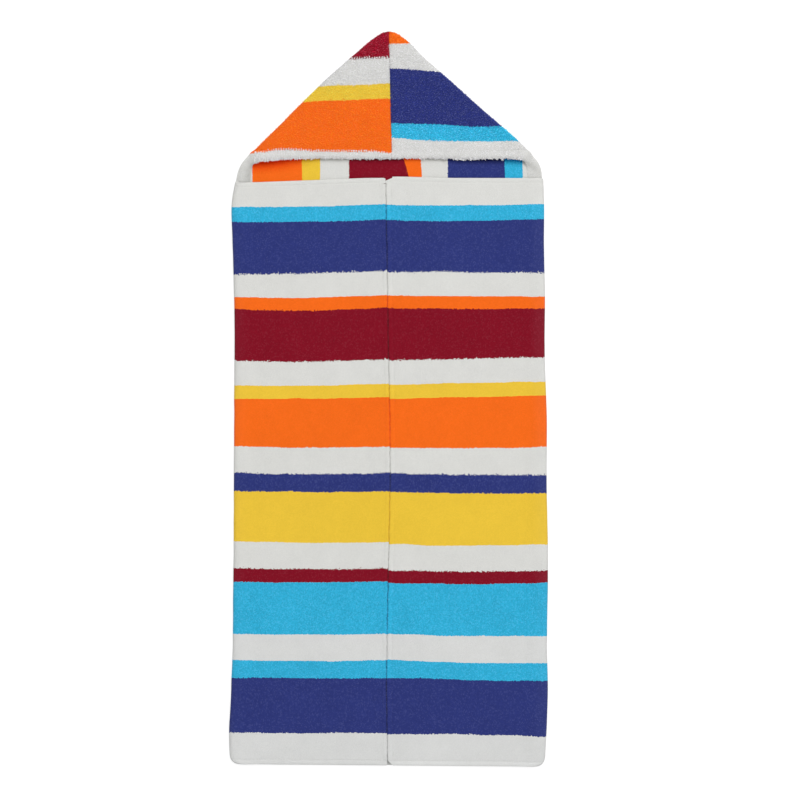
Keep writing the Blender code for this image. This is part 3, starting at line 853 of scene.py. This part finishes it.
start, end = HEM + HEM_JOIN, BODY_LENGTH - HEM - HEM_JOIN
downs = np.linspace(start, end, round((end - start) / HEM_ROW))
for side, name in ((-1, "left"), (1, "right")):
    edge = meeting_edges(downs)[(side + 1) // 2]
    x = edge[:, None] + side * hem_shape["into"]
    down = np.broadcast_to(downs[:, None], x.shape)
    y = body_y(x, down)
    puffy = 0.15 * soft_bumps(down, x * 0 + side * 30, 5.0, 31)
    top = FRONT_LEVEL + slack_hem - hem_shape["pinch"] + front_waves(x, down) + puffy
    bottom = FRONT_LEVEL - CLOTH + hem_shape["pinch"] + front_waves(x, down)
    mix = np.tile([0, 1, 0, 0] if side < 0 else [0, 0, 1, 0], (len(HEM_SHAPE), 1))
    place = body_stripe_place(NECK_Y - y, mix)
    outer, inner = np.stack([x, y, top], -1), np.stack([x, y, bottom], -1)
    pale_band = (0.25 if side > 0 else 0.05) * fade(abs(hem_shape["into"] - 4) / 4)
    # patchy and deep give a painted shade, uneven along its length, in the crevice where the fronts meet
    patchy = np.clip(0.42 + 0.35 * soft_bumps(down, side * 40, 2.7, 32), 0, 1)
    deep = fade(hem_shape["into"] / 1.6)
    marks = {"tone": pale_band - 2.2 * patchy * deep, "dusk": 0.85 * patchy * deep}
    marks = {key: (np.broadcast_to(mark, x.shape),) * 2 for key, mark in marks.items()}
    piece = cloth_shell(f"front_edge_{name}", outer, inner, place=(place, place), **marks)
    dress_hem(piece, f"front_hem_{name}")

# %% [markdown]
# ## The hood
# The hood's strip is wrapped to the front just as the body is, only its folds run together at the
# tip. So it takes the same slices, drawn by its own outline, with the flaps turned down into their
# seam. Towards the tip the slices get flatter and narrower, which rounds it off like a stuffed
# corner. A cone cut and bent would be quicker, but the two flaps and their seam would have to be
# cut into it. Below the brim only the back goes on, down to the seam at the neck. The upper face of
# the flaps is laid a little low, because loops will stand on it.

# %% Hem round the face, as tables
# Outer x and how far up, inner x and how far up, then the heights of the two faces, in mm.
BRIM_LEFT = (
    (4.9, 44.3, 4.9, 30.6, 3.4, 9.4),
    (-60.0, 44.4, -60.0, 30.8, 3.5, 10.0),
    (-130.0, 44.4, -130.0, 30.6, 5.2, 11.2),
    (-165.0, 44.4, -165.0, 28.6, 8.4, 13.4),
    (-192.0, 44.2, -186.0, 26.4, 10.2, 14.6),
    (-207.5, 43.0, -202.5, 25.0, 8.0, 12.6),
    (-216.5, 34.5, -209.5, 20.5, 2.2, 8.4),
    (-225.0, 24.5, -211.0, 14.5, 0.4, 6.4),
    (-230.0, 15.0, -211.5, 8.0, 0.0, 4.9),
    (-232.8, 5.0, -212.0, 2.5, 0.0, 3.6),
    (-234.0, -1.0, -212.2, -1.0, 0.0, 3.2),
    (-235.5, -11.7, -212.5, -11.7, 0.0, 3.0),
)
BRIM_RIGHT = (
    (5.1, 44.3, 5.1, 31.0, 3.4, 9.4),
    (60.0, 44.4, 60.0, 31.2, 3.6, 10.0),
    (130.0, 44.4, 130.0, 29.6, 5.2, 11.2),
    (170.0, 44.4, 170.0, 30.4, 7.8, 13.0),
    (199.0, 44.2, 193.0, 29.6, 9.2, 13.8),
    (215.0, 43.2, 207.5, 27.0, 7.0, 11.8),
    (222.5, 34.5, 211.0, 21.5, 2.0, 7.8),
    (230.0, 25.0, 212.5, 15.0, 0.4, 6.0),
    (234.2, 15.0, 212.8, 8.0, 0.0, 4.7),
    (235.5, 5.0, 213.0, 2.5, 0.0, 3.5),
    (235.8, -1.0, 213.2, -1.0, 0.0, 3.2),
    (236.8, -11.7, 213.5, -11.7, 0.0, 3.0),
)
BRIM_LIES_LOW = 6  # from this row on, the hem lies beside the hood's back
BRIM_CLEARANCE = 0.1  # between the two
BRIM_NAMES = ("outer_x", "outer_up", "inner_x", "inner_up", "bottom", "top")
brim_lines = {-1: columns_of(BRIM_LEFT, *BRIM_NAMES), 1: columns_of(BRIM_RIGHT, *BRIM_NAMES)}
print("brim tables of", len(BRIM_LEFT), "and", len(BRIM_RIGHT), "rows")

# %% The hood above the brim
FOLD_SLANT = 1.5  # the folds run at about 42 degrees, so a level slice cuts them long
PILE_SINK = 0.7  # mm from the top of the loops down to the ground cloth
TIP_SINK = 1.7  # mm by which the tip is pressed in
tip_heights = (223.5, 225, 226.2, 227.2, 227.9, 228.3, HOOD_RISE)
flap_heights = np.concatenate([np.linspace(BRIM_UP, 222, 60), tip_heights])


def hood_points(ups):
    """Outer and inner grid of the hood above the brim, in mm, and the x of its two folds."""
    row = {key: smooth_at(hood_line["up"], values, ups) for key, values in hood_line.items()}
    narrow = np.sqrt(1 - 0.9 * np.clip((ups - 224) / 4.7, 0, 1) ** 2)
    flat = np.sqrt(1 - 0.85 * np.clip((ups - 221) / 8, 0, 1) ** 2)[:, None]
    calm = np.clip((HOOD_RISE - ups) / 20, 0, 1)  # no wobble at the very tip
    sides = [
        row["meeting"] + (row[key] - row["meeting"]) * narrow
        + 0.4 * soft_bumps(ups, side * 60, 13, 41) * calm
        for key, side in (("left", -1), ("right", 1))
    ]
    edges = [row["meeting"] + side * HOOD_SEAM_GAP / 2 for side in (-1, 1)]
    lie = (row["meeting"], row["level"], row["fold"])
    faces = wrap(sides, edges, *lie, slant=FOLD_SLANT, dip=HOOD_SEAM_DIP, proud=-PILE_SINK)
    middle = row["fold"][:, None] / 2
    pressed = ups - TIP_SINK * np.clip((ups - 212) / 16.5, 0, 1) ** 1.3
    grids = []
    for x, z, tucked in ((*faces[:2], 0), (*faces[2:], CLOTH)):
        y = NECK_Y + pressed - tucked * fade((HOOD_RISE - ups) / 12)
        waves = 0.35 * soft_bumps(x + 300, ups[:, None], 42, 42)
        lift = waves * FRONTNESS * fade((ups[:, None] - 190) / 38)
        z = middle + (z - middle) * flat + lift
        grids.append(np.stack([x, np.broadcast_to(y[:, None], x.shape), z], -1))
    return grids[0], grids[1], sides


flap_outer, flap_inner, folds = hood_points(flap_heights)
print(len(flap_heights), "slices up the flaps")

# %% The hood's back below the brim
def lower_back(first_outer, first_inner):
    """The hood's back below the brim, from the neck seam up, between its side hems."""
    steps = np.linspace(len(BRIM_LEFT) - 1, BRIM_LIES_LOW, 26)
    number = np.arange(len(BRIM_LEFT))
    ends = {}
    for side, line in brim_lines.items():
        ends[side] = [smooth_at(number, line[key], steps)[:, None] for key in ("inner_x", "inner_up")]
    start_x, end_x = ends[-1][0] + BRIM_CLEARANCE, ends[1][0] - BRIM_CLEARANCE
    grids = []
    for first in (first_outer, first_inner):
        low, high = first[BEYOND_FOLD, 0], first[-1 - BEYOND_FOLD, 0]
        share = np.clip((first[:, 0] - low) / (high - low), 0, 1)
        x = start_x + (end_x - start_x) * share
        y = NECK_Y + ends[-1][1] + (ends[1][1] - ends[-1][1]) * share
        grids.append(np.stack([x, y, np.broadcast_to(first[:, 2], x.shape)], -1))
    return grids


low_outer, low_inner = (
    np.concatenate([low, low[-1] + (flap[0] - low[-1]) * np.linspace(0, 1, 20)[1:-1, None, None]])
    for low, flap in zip(lower_back(flap_outer[0], flap_inner[0]), (flap_outer, flap_inner))
)
first_low = low_outer[0]
print("at the neck the hood is", round(np.ptp(first_low[:, 0]), 1), "mm wide between its hems")

# %% Painted shade and stripes on the hood
def painted_brim_shadow(grid):
    """How deep in the painted shadow under the brim the points of the hood's back lie. It reaches
    further down at the two corners, where the brim stands off."""
    x, up = grid[..., 0], grid[..., 1] - NECK_Y
    inner_x, inner_up = (
        np.append(brim_lines[-1][key][BRIM_LIES_LOW - 1 :: -1], brim_lines[1][key][:BRIM_LIES_LOW])
        for key in ("inner_x", "inner_up")
    )
    below = np.interp(x, inner_x, inner_up) - up
    left, right = np.clip((-112 - x) / 55, 0, 1), np.clip((x - 80) / 70, 0, 1)
    dusk = 0.65 * fade(below / 2.6) + 0.72 * left * fade(below / 20) + 0.4 * right * fade(below / 9)
    return np.clip(dusk, 0, 0.9) * (1 - FRONTNESS) * (up < BRIM_UP + 0.1)


def hood_places(grid, folds=None):
    """Place in the hood's stripe plan of every point of a grid of the hood."""
    x, up = grid[..., 0], grid[..., 1] - NECK_Y
    if folds is None:
        return back_place(x, up)
    on_left = np.arange(x.shape[1]) < HALF_COLUMNS
    flaps = np.where(on_left, flap_place(x, up, -1), flap_place(x, up, 1))
    return flaps * FRONTNESS + back_place(x, up, [f[:, None] for f in folds]) * (1 - FRONTNESS)


places = [
    np.concatenate([hood_places(low), hood_places(flap, folds)])
    for low, flap in ((low_outer, flap_outer), (low_inner, flap_inner))
]
print("stripe places of the hood from", round(places[0].min()), "to", round(places[0].max()))

# %% Hood cloth
def tip_faces(rows, columns):
    """Faces that close the tip: each front point is joined to the back point below it."""
    last, middle, faces = columns - 1, (columns - 1) // 2, []
    for base in ((rows - 1) * columns, (2 * rows - 1) * columns):
        for first, step in ((0, 1), (last, -1)):
            for k in range(middle // 2):
                ring = [first + step * k, first + step * (k + 1)]
                ring += [middle - step * (k + 1), middle - step * k]
                if middle % 2 == 0 and k == middle // 2 - 1:
                    ring.pop(2)
                faces.append([base + i for i in ring[::step]])
        faces.append([base, base + middle, base + last])
    base, below = (rows - 1) * columns, rows * columns
    return [*faces, [base, base + last, base + last + below, base + below]]


outer, inner = np.concatenate([low_outer, flap_outer]), np.concatenate([low_inner, flap_inner])
cells = np.ones((len(outer) - 1, outer.shape[1] - 1), bool)
cells[: len(low_outer), :BEYOND_FOLD] = False  # below the brim there is only the back
cells[: len(low_outer), -BEYOND_FOLD:] = False
tip = tip_faces(*outer.shape[:2])
# painted shadow under the brim, on the inside of the hood's back
dusk = (np.zeros(outer.shape[:2]), painted_brim_shadow(inner))
hood = cloth_shell("hood_terry", outer, inner, cells, tip, place=places, dusk=dusk)
hood.data.materials.append(hood_ground)
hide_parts("hood_cloth")
print("the tip is closed by", len(tip), "faces")

# %% [markdown]
# ## The brim
# The hem round the face opening is a soft roll of white terry, about a finger wide. It runs along
# the brim, round both cheeks and down beside the hood's back to the neck. It stands a little above
# the flaps and casts a thin shadow on the hood's inside. A curve with a round bevel could make it,
# but its section has to change on the way, from a roll to a flat hem. So a band with an oval section
# is swept along the table, and small bumps keep its edges from running straight.

# %% Shape of a brim roll
def brim_points(side):
    """Outer and inner grid of the roll on one side, in mm."""
    line = brim_lines[side]
    length = np.hypot(np.diff(line["outer_x"]), np.diff(line["outer_up"])).cumsum()
    length = np.insert(length, 0, 0.0)
    along = np.linspace(0, length[-1], round(length[-1] / 1.6))[:, None]
    row = {key: smooth_at(length, values, along) for key, values in line.items()}
    # 1 on the open brim, 0 on the cheek, where the hem lies beside the hood's back
    is_brim = 1 - fade((length[BRIM_LIES_LOW] + 12 - along) / 24)
    share = 0.5 - 0.5 * np.cos(np.linspace(0, np.pi, 15))
    round_below = np.maximum((1 - np.clip(2 * share - 1, 0, 1) ** 2.2) ** (1 / 2.2), 0.10)
    round_below = round_below * is_brim + 1 - is_brim  # a cheek's hem lies flush with the back
    round_above = 1 - 0.45 * np.clip(1 - 2 * share, 0, 1) ** 3
    oval = np.where(share > 0.5, round_below, round_above)
    wander = soft_bumps(along, side * 9, 2.6, 51) * (0.25 + 1.25 * is_brim)
    x = row["outer_x"] + (row["inner_x"] - row["outer_x"]) * share
    up = row["outer_up"] + (row["inner_up"] - row["outer_up"]) * share - wander * share**2
    up = up + 0.6 * is_brim * share**3  # the hanging loops make up the rest
    middle, half = (row["top"] + row["bottom"]) / 2, (row["top"] - row["bottom"]) / 2
    half = half * (1 + 0.06 * soft_bumps(along, 50 + share * 14, 6.0, 52))
    thin = CLOTH / 2 + 0.1  # a cheek's hem is pressed down to the thickness of the back
    lean = (1 - is_brim) * share
    middle, half = middle * (1 - lean) + thin * lean, half * (1 - lean) + thin * lean
    y = NECK_Y + up
    top = middle + half * oval
    bottom = np.maximum(middle - half * oval, 0.0)
    # along the open brim, the roll rises out of the flap without a step
    flap = flap_outer[0, : QUARTER + 1][::-1] if side < 0 else flap_outer[0, -QUARTER - 1 :][::-1]
    flush = np.interp(row["outer_x"], flap[:, 0], flap[:, 2]) - 0.1
    joins = fade((abs(row["outer_x"]) - 188) / 16) * fade(share / 0.6)
    top = top + (flush - top) * joins
    return np.stack([x, y, top], -1), np.stack([x, y, bottom], -1)


print("a brim roll has", len(brim_points(1)[0]), "slices")

# %% Shade on the cheeks
def cheek_shade(x, up, side):
    """How deep in shade a cheek lies. On the left it is deepest beside the opening, and on the
    right along the crease in which the roll of the brim runs out."""
    line = brim_lines[side]
    inner_x = np.interp(up, line["inner_up"][:3:-1], line["inner_x"][:3:-1])
    if side < 0:
        beside = 1.0 + 2.0 * fade((inner_x - x) / 14)
        return beside * fade((up - 19) / 13) * np.clip((-200 - x) / 8, 0, 1)
    crease = fade(abs((x - 205) * 0.5 + (up - 29) * 0.86) / 6) * fade((x - 220) / 14)
    return (2.3 * crease + 0.7 * fade((up - 22) / 12)) * np.clip((x - 203) / 6, 0, 1)


print("the left cheek's deepest shade:", np.round(cheek_shade(-212.0, 15.0, -1), 1))

# %% Brim rolls
brim_grids, brim_pieces = {}, {}
for side, name in ((-1, "left"), (1, "right")):
    outer, inner = brim_points(side)
    brim_grids[side] = outer
    place = flap_place(outer[..., 0], outer[..., 1] - NECK_Y, side)
    # painted shade on the cheeks of the roll
    dusk = 0.2 * cheek_shade(outer[..., 0], outer[..., 1] - NECK_Y, side)
    piece = cloth_shell(f"brim_roll_{name}", outer, inner, place=(place, place), dusk=(dusk, 0 * dusk))
    piece.data.materials.append(hood_ground)
    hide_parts(f"brim_hem_{name}")
    brim_pieces[side] = piece

# %% [markdown]
# ## Loops of the pile
# On the hood and its brim the pile is uncut: thousands of small loops of soft yarn, each leaning
# its own way. Hair or a scattering of instances could make them, but a plain mesh travels better,
# so every loop is a bent yarn of five rings with three sides. One loop is made at the origin, and
# numpy sets a copy on each root with its own size, turn and lean, all in one array. A loop takes one
# colour, that of its root, which is why a stripe's edge in terry looks stepped.

# %% Roots in staggered rows
STRAY_SHARE = 0.3  # a root lies off its place by up to this part of the spacing


def run_along(line):
    """Distance in mm, along a line of points, from the first of them to each."""
    return np.insert(np.linalg.norm(np.diff(line, axis=0), axis=1).cumsum(), 0, 0.0)


def loop_roots(grid, spacing, guide, seed):
    """Places about spacing mm apart over a grid of points: where they are, and the directions
    across and out of the cloth there. The rows are counted along the guide column."""
    rng = np.random.default_rng(seed)
    across = np.gradient(grid, axis=1)
    out = np.cross(across, np.gradient(grid, axis=0))
    out *= np.sign(out[..., 2].mean()) / np.maximum(np.linalg.norm(out, axis=-1, keepdims=True), 1e-9)
    field = np.concatenate([grid, across, out], -1)
    length = run_along(grid[:, guide])
    found = []
    for n, row in enumerate(np.arange(spacing / 2, length[-1], spacing)):
        r = np.interp(row, length, np.arange(len(length)))
        reach = run_along(grid[int(r)])
        s = np.arange(spacing * (0.2 + 0.5 * (n % 2)), reach[-1], spacing)
        s = s + rng.uniform(-STRAY_SHARE, STRAY_SHARE, len(s)) * spacing
        c = np.clip(np.interp(s, reach, np.arange(len(reach))), 0, grid.shape[1] - 1.001)
        off_row = rng.uniform(-STRAY_SHARE, STRAY_SHARE, len(s)) * spacing * len(length) / length[-1]
        r = np.clip(r + off_row, 0, len(length) - 1.001)
        i, j, t, u = r.astype(int), c.astype(int), (r % 1)[:, None], (c % 1)[:, None]
        near = field[i, j] * (1 - u) + field[i, j + 1] * u
        far = field[i + 1, j] * (1 - u) + field[i + 1, j + 1] * u
        found.append(near * (1 - t) + far * t)
    found = np.concatenate(found)
    return found[:, :3], found[:, 3:6], found[:, 6:]


print("round a square of 2 mm it is", run_along([(0, 0), (2, 0), (2, 2), (0, 2), (0, 0)])[-1], "mm")

# %% Yarn, and many copies of it
YARN = 0.30  # mm, radius


def bent_yarn(path, run, radii, angles):
    """Points and faces of a yarn along a path in x and z. It has a ring of points at these angles
    round each point of the path, square to the run there."""
    points, faces = [], []
    sides = len(angles)
    for k, ((x, z), (dx, dz), radius) in enumerate(zip(path, run, radii)):
        for angle in angles:
            off = radius * math.sin(angle)
            points.append((x - dz * off, radius * math.cos(angle), z + dx * off))
        if k:
            a, b = sides * (k - 1), sides * k
            faces += [(a + i, a + (i + 1) % sides, b + (i + 1) % sides, b + i) for i in range(sides)]
    return np.array(points), np.array(faces)


def copies_mesh(name, copies, faces, **marks):
    """One mesh of many copies of a small one. copies has a row of points for each of them, and
    marks a number for each."""
    count, size = copies.shape[:2]
    every = (faces[None] + (np.arange(count) * size)[:, None, None]).reshape(-1, 4)
    marks = {key: np.repeat(mark, size) for key, mark in marks.items()}
    return finish_mesh(name, copies.reshape(-1, 3), every, marks, angle=80)


straight = bent_yarn(((0, 0), (1, 0)), ((1, 0), (1, 0)), (YARN, YARN), (0, 2, 4))
print("a straight bit of yarn:", len(straight[0]), "points,", len(straight[1]), "faces")

# %% Loops as one mesh
LOOP_PATH = ((-0.40, -0.35), (-0.72, 0.45), (0.0, 0.95), (0.72, 0.45), (0.40, -0.35))  # across, out
LOOP_SIZES = (0.8, 1.25)  # the smallest and the largest loop, against the path above
LOOP_TURN = 0.6  # radians that a loop is usually turned
LOOP_LEAN = 0.5  # and how far it leans, against its height
LOOP_STOOP = 0.12  # a loop that leans is lower by this part of its lean


def one_loop():
    """Points of one loop round its root, and its faces."""
    run = np.gradient(np.array(LOOP_PATH), axis=0)
    run /= np.linalg.norm(run, axis=1, keepdims=True)
    return bent_yarn(LOOP_PATH, run, [YARN] * len(LOOP_PATH), np.radians((90, 210, 330)))


def loop_pile(name, roots, across, out, seed, size=1.0, **marks):
    """Loops on all the roots, as one piece. Each takes the marks of its root. size is one number
    or one for each loop."""
    rng = np.random.default_rng(seed)
    shape, faces = one_loop()
    count = len(roots)
    across = across / np.linalg.norm(across, axis=1, keepdims=True)
    out = out / np.linalg.norm(out, axis=1, keepdims=True)
    beside = np.cross(out, across)
    turn = rng.normal(0, LOOP_TURN, count)[:, None]
    along = across * np.cos(turn) + beside * np.sin(turn)
    beside = np.cross(out, along)
    scale = np.reshape(size, (-1, 1, 1)) * rng.uniform(*LOOP_SIZES, (count, 1, 1))
    local = np.broadcast_to(shape, (count, *shape.shape)) * scale
    height = np.clip(local[..., 2:], 0, None)
    lean = rng.normal(0, LOOP_LEAN, (count, 1, 2)) * height
    local = local + np.concatenate([lean, -LOOP_STOOP * abs(lean[..., :1])], -1)
    points = roots[:, None] + local @ np.stack([along, beside, out], 1)
    points[..., 2] = np.maximum(points[..., 2], 0.05)  # none goes into the table
    return copies_mesh(name, points, faces, **marks, odd=rng.uniform(0, 1, count))


print("one loop:", len(one_loop()[0]), "points")

# %% [markdown]
# Along two edges of the left flap, where orange and crimson loops end on white ones, white tufts
# stand up over the edge like the teeth of a comb, one about every fourth millimetre. Loops that
# stray at random would not show this, because they have no beat. So each tooth gets three white
# loops of its own, two side by side and one above them, and the dark loops reach down between.

# %% Teeth along two edges of the left flap
TOOTH_EVERY = 3.85  # mm
TOOTH_LOOPS = ((-0.3, 0.0), (0.3, 0.0), (0.0, 1.3))  # mm to the right, mm further up
TOOTH_SIZE = 1.3  # times that of a plain loop
TOOTH_FOOT = 0.8  # mm below the edge, where a tooth is measured from
TOOTH_REACH = (0.6, 1.6)  # mm from there to the lower loops of the shortest and of the longest
TOOTH_LIFT = 0.4  # mm above the ground cloth
TOOTH_EDGES = (  # the edge as x and how far up, from and to x, and a place in the white stripe
    (BRIM_EDGE, -203, -6, -220.0),
    (((-58, 184.6), (-30, 185.4), (0, 186.2)), -56, -2, -80.0),
)


def tooth_loops(rng):
    """The loops of the teeth over both edges, in columns: roots, directions across and out of the
    cloth, stripe places, painted shade, tone and size."""
    flap = flap_outer[:, : QUARTER + 1]
    ground = np.concatenate([flap.reshape(-1, 3), brim_grids[-1].reshape(-1, 3)])
    roots, places = [], []
    for edge, start, end, place in TOOTH_EDGES:
        for x in np.arange(start, end, TOOTH_EVERY):
            reach = rng.uniform(*TOOTH_REACH)
            for beside, above in TOOTH_LOOPS:
                y = NECK_Y + np.interp(x, *np.array(edge).T) + reach + above - TOOTH_FOOT
                z = ground[np.hypot(ground[:, 0] - x, ground[:, 1] - y).argmin(), 2] + TOOTH_LIFT
                roots.append((x + beside, y, z))
                places.append(place)
    count = len(roots)
    across, out = np.tile((0.3, 1.0, 0.0), (count, 1)), np.tile((0.0, 0.0, 1.0), (count, 1))
    plain = np.zeros(count)
    return np.array(roots), across, out, np.array(places), plain, plain, np.full(count, TOOTH_SIZE)


def between_teeth(x, up, side):
    """From 0 on a tooth to 1 midway between two, for loops of the left flap near the two edges."""
    share = np.zeros(len(x))
    for edge, start, end, _ in TOOTH_EDGES:
        near = fade(abs(up - np.interp(x, *np.array(edge).T)) / 4) * (x > start - 2) * (x < end + 2)
        share += near * (0.5 - 0.5 * np.cos(2 * np.pi * (x - start) / TOOTH_EVERY))
    return share * (side < 0)


print(sum(int((end - start) / TOOTH_EVERY) + 1 for _, start, end, _ in TOOTH_EDGES), "teeth")


# %% Loops of the hood's flaps
FLAP_SPACING = 1.75  # mm
GAP_DROP = 1.5  # mm by which the dark loops reach down between two teeth
GAP_SHADE = 3.0  # and how much painted shade they get there

hood_loops = []
for side, name in ((-1, "left"), (1, "right")):
    part = flap_outer[:, : QUARTER + 1] if side < 0 else flap_outer[:, ::-1][:, : QUARTER + 1]
    roots, across, out = loop_roots(part[:-3], FLAP_SPACING, 0, 60 + side)
    x, up = roots[:, 0], roots[:, 1] - NECK_Y
    stray = 1.1 * soft_bumps(x, up, 2.6, 61) + 0.5 * soft_bumps(x, up, 26, 62)
    ragged = 0.9 + 0.2 * fade((up - 46) / 8)  # more so at the brim
    stray += np.random.default_rng(65 + side).uniform(-1, 1, len(up)) * ragged
    gap = between_teeth(x, up, side)
    place = flap_place(x, up + stray + GAP_DROP * gap, side)
    # darker on the left flap around 153 mm up, and painted shade on the loops between the teeth
    tone = -0.8 * fade(abs(up - 153) / 40) * (side < 0) - GAP_SHADE * gap
    to_seam = abs(x - np.interp(up, hood_line["up"], hood_line["meeting"]))
    dusk = (0.6 if side > 0 else 0.3) * fade(to_seam / 2.6)  # painted shade: little light gets down to the seam
    columns = roots, across, out, place, dusk, tone, np.ones(len(roots))
    if side < 0:
        teeth = tooth_loops(np.random.default_rng(66))
        columns = [np.concatenate(pair) for pair in zip(columns, teeth)]
    roots, across, out, place, dusk, tone, size = columns
    marks = {"place": place, "dusk": dusk, "tone": tone}
    piece = loop_pile(f"hood_loops_{name}", roots, across, out, 63 + side, size, **marks)
    piece.data.materials.append(hood_yarn)
    hood_loops.append(piece)
    print(len(roots), "loops on the", name, "flap")

# %% Loops of the brim
BRIM_SPACING = 1.6  # mm

brim_loops = []
for side, name in ((-1, "left"), (1, "right")):
    roots, across, out = loop_roots(brim_grids[side], BRIM_SPACING, 7, 70 + side)
    x, up = roots[:, 0], roots[:, 1] - NECK_Y
    rng = np.random.default_rng(76 + side)
    stray = 1.0 * soft_bumps(x, up, 3.2, 61) + rng.uniform(-1.1, 1.1, len(up))
    place = flap_place(x, up + stray + GAP_DROP * between_teeth(x, up, side), side)
    opening = abs(x) < 205
    hangs = np.clip((34.0 - up) / 3, 0, 1) * opening  # at the brim's free edge
    lies = fade((abs(x) - 196) / 16)  # smaller loops on the cheeks
    size = 0.55 + 0.4 * lies + 0.55 * hangs
    # painted shade: dark flecks among the loops at the brim's free edge, and shade on the cheeks
    tone = -3.5 * np.clip((36.5 - up) / 5, 0, 1) * opening * rng.uniform(0, 1, len(up)) ** 2
    tone -= cheek_shade(x, up, side)
    piece = loop_pile(f"brim_loops_{name}", roots, across, out, 72 + side, size, place=place, tone=tone)
    piece.data.materials.append(hood_yarn)
    brim_loops.append(piece)
    print(len(roots), "loops on the", name, "brim")

# %% [markdown]
# ## Stitching
# White thread holds the hems: a row of stitches, each 3 mm long, that sinks into the pile and only
# shows as small light dashes on the dark stripes. Dashes could be drawn in the finish, but a real
# stitch dips into the pile at both ends. So each is a little bent bar of thread, made as the loops
# are, and they are laid end to end along the ditch of each hem and joined into one mesh.

# %% Where the stitches lie
STITCH, STITCH_GAP = 3.0, 1.1  # mm
STITCH_STRAY = 0.12  # mm by which some sink in deeper
# How far the stitches lie in from a hem's free edge, and how far below the cloth's face, in mm.
STITCH_PLACES = {"front": (7.4, 0.44), "neck": (7.6, 0.44), "bottom": (7.8, 0.45)}


def front_top(x, down):
    """Height of a front's upper face, with its lift towards the folds."""
    left, right = (smooth_at(body_line["down"], body_line[key], down) for key in ("left", "right"))
    to_axis = np.where(x < 0, x - left, right - x) - FOLD_WIDE * FOLD_HEIGHT / 2
    lift = (FOLD_HEIGHT - FRONT_LEVEL) * fade(abs(to_axis) / FOLD_REACH)
    return FRONT_LEVEL + lift + front_waves(x, down)


def stitch_row(x, down, sunk, seed):
    """Points and directions of the stitches along a line on the fronts. Some sink in deeper."""
    line = np.stack([x, body_y(x, down), front_top(x, down) - sunk], -1)
    reach = run_along(line)
    middles = np.arange(STITCH, reach[-1] - STITCH / 2, STITCH + STITCH_GAP)
    at, ahead = (
        np.stack([np.interp(middles + off, reach, line[:, k]) for k in range(3)], -1) for off in (0, 0.5)
    )
    run = (ahead - at) / np.linalg.norm(ahead - at, axis=1, keepdims=True)
    at[:, 2] -= np.random.default_rng(seed).uniform(0, STITCH_STRAY, len(at))
    return at, run


fine = np.linspace(0, 1, 900)
rows = []
for side in (-1, 1):
    into, sunk = STITCH_PLACES["front"]
    down = 13 + (BODY_LENGTH - 26) * fine
    x = meeting_edges(down)[(side + 1) // 2] + side * into
    sunk = sunk - 0.15 * soft_bumps(down, side * 30, 5.0, 31)  # the front hems' puffiness again
    rows.append(stitch_row(x, down, sunk, 81 + side))
    x = side * (8 + 222 * fine)
    into, sunk = STITCH_PLACES["neck"]
    rows.append(stitch_row(x, into + 0 * fine, sunk, 84 + side))
    into, sunk = STITCH_PLACES["bottom"]
    rows.append(stitch_row(x, BODY_LENGTH - into + 0 * fine, sunk, 87 + side))
at, along = (np.concatenate([row[k] for row in rows]) for k in (0, 1))
print(len(at), "stitches in", len(rows), "rows")

# %% Stitches as one mesh
THREAD = 0.28  # mm, radius
STITCH_PATH = ((-1.5, -0.35), (-1.1, 0), (0, 0.1), (1.1, 0), (1.5, -0.35))  # mm along, mm out
STITCH_THICK = (0.5, 1, 1, 1, 0.5)  # times the thread

level = [(1, 0)] * len(STITCH_PATH)
radii = [THREAD * thick for thick in STITCH_THICK]
shape, faces = bent_yarn(STITCH_PATH, level, radii, np.linspace(0, 2 * np.pi, 5, endpoint=False))
across = np.cross((0, 0, 1.0), along)
across /= np.linalg.norm(across, axis=1, keepdims=True)
axes = np.stack([along, across, np.cross(along, across)], 1)
local = np.broadcast_to(shape, (len(at), *shape.shape))
stitching = copies_mesh("hem_stitching", at[:, None] + local @ axes, faces)

# %% Thread finish
def thread_finish():
    """White cotton thread, with the twist of its plies."""
    material, tree, shader = new_finish("white_thread")
    here = node(tree, "ShaderNodeTexCoord").outputs["Object"]
    cotton = mixed(tree, noise(tree, here, 400), (0.66, 0.65, 0.63), (0.78, 0.78, 0.76))
    twist = node(tree, "ShaderNodeTexWave", bands_direction="DIAGONAL")
    fed_by_name(tree, twist, Vector=here, Scale=600)
    bumpy(tree, shader, twist.outputs["Fac"], 0.4, 0.1)
    fed_by_name(tree, shader, Base_Color=cotton, Roughness=0.7, Sheen_Weight=0.2)
    return material


stitching.data.materials.append(thread_finish())
print("finish:", stitching.data.materials[0].name)

# %% [markdown]
# ## Fixing the pieces to the frame
# The towel has no moving part, so every piece rides on the one body of the frame. Last, the
# triangles of all the pieces are counted.

# %% Ride and count
pieces = [body, *hem_pieces, hood, *hood_loops, *brim_pieces.values(), *brim_loops, stitching]
for piece in pieces:
    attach(piece, "root")
triangles = sum(sum(len(f.vertices) - 2 for f in piece.data.polygons) for piece in pieces)
print(len(pieces), "pieces,", triangles, "triangles")
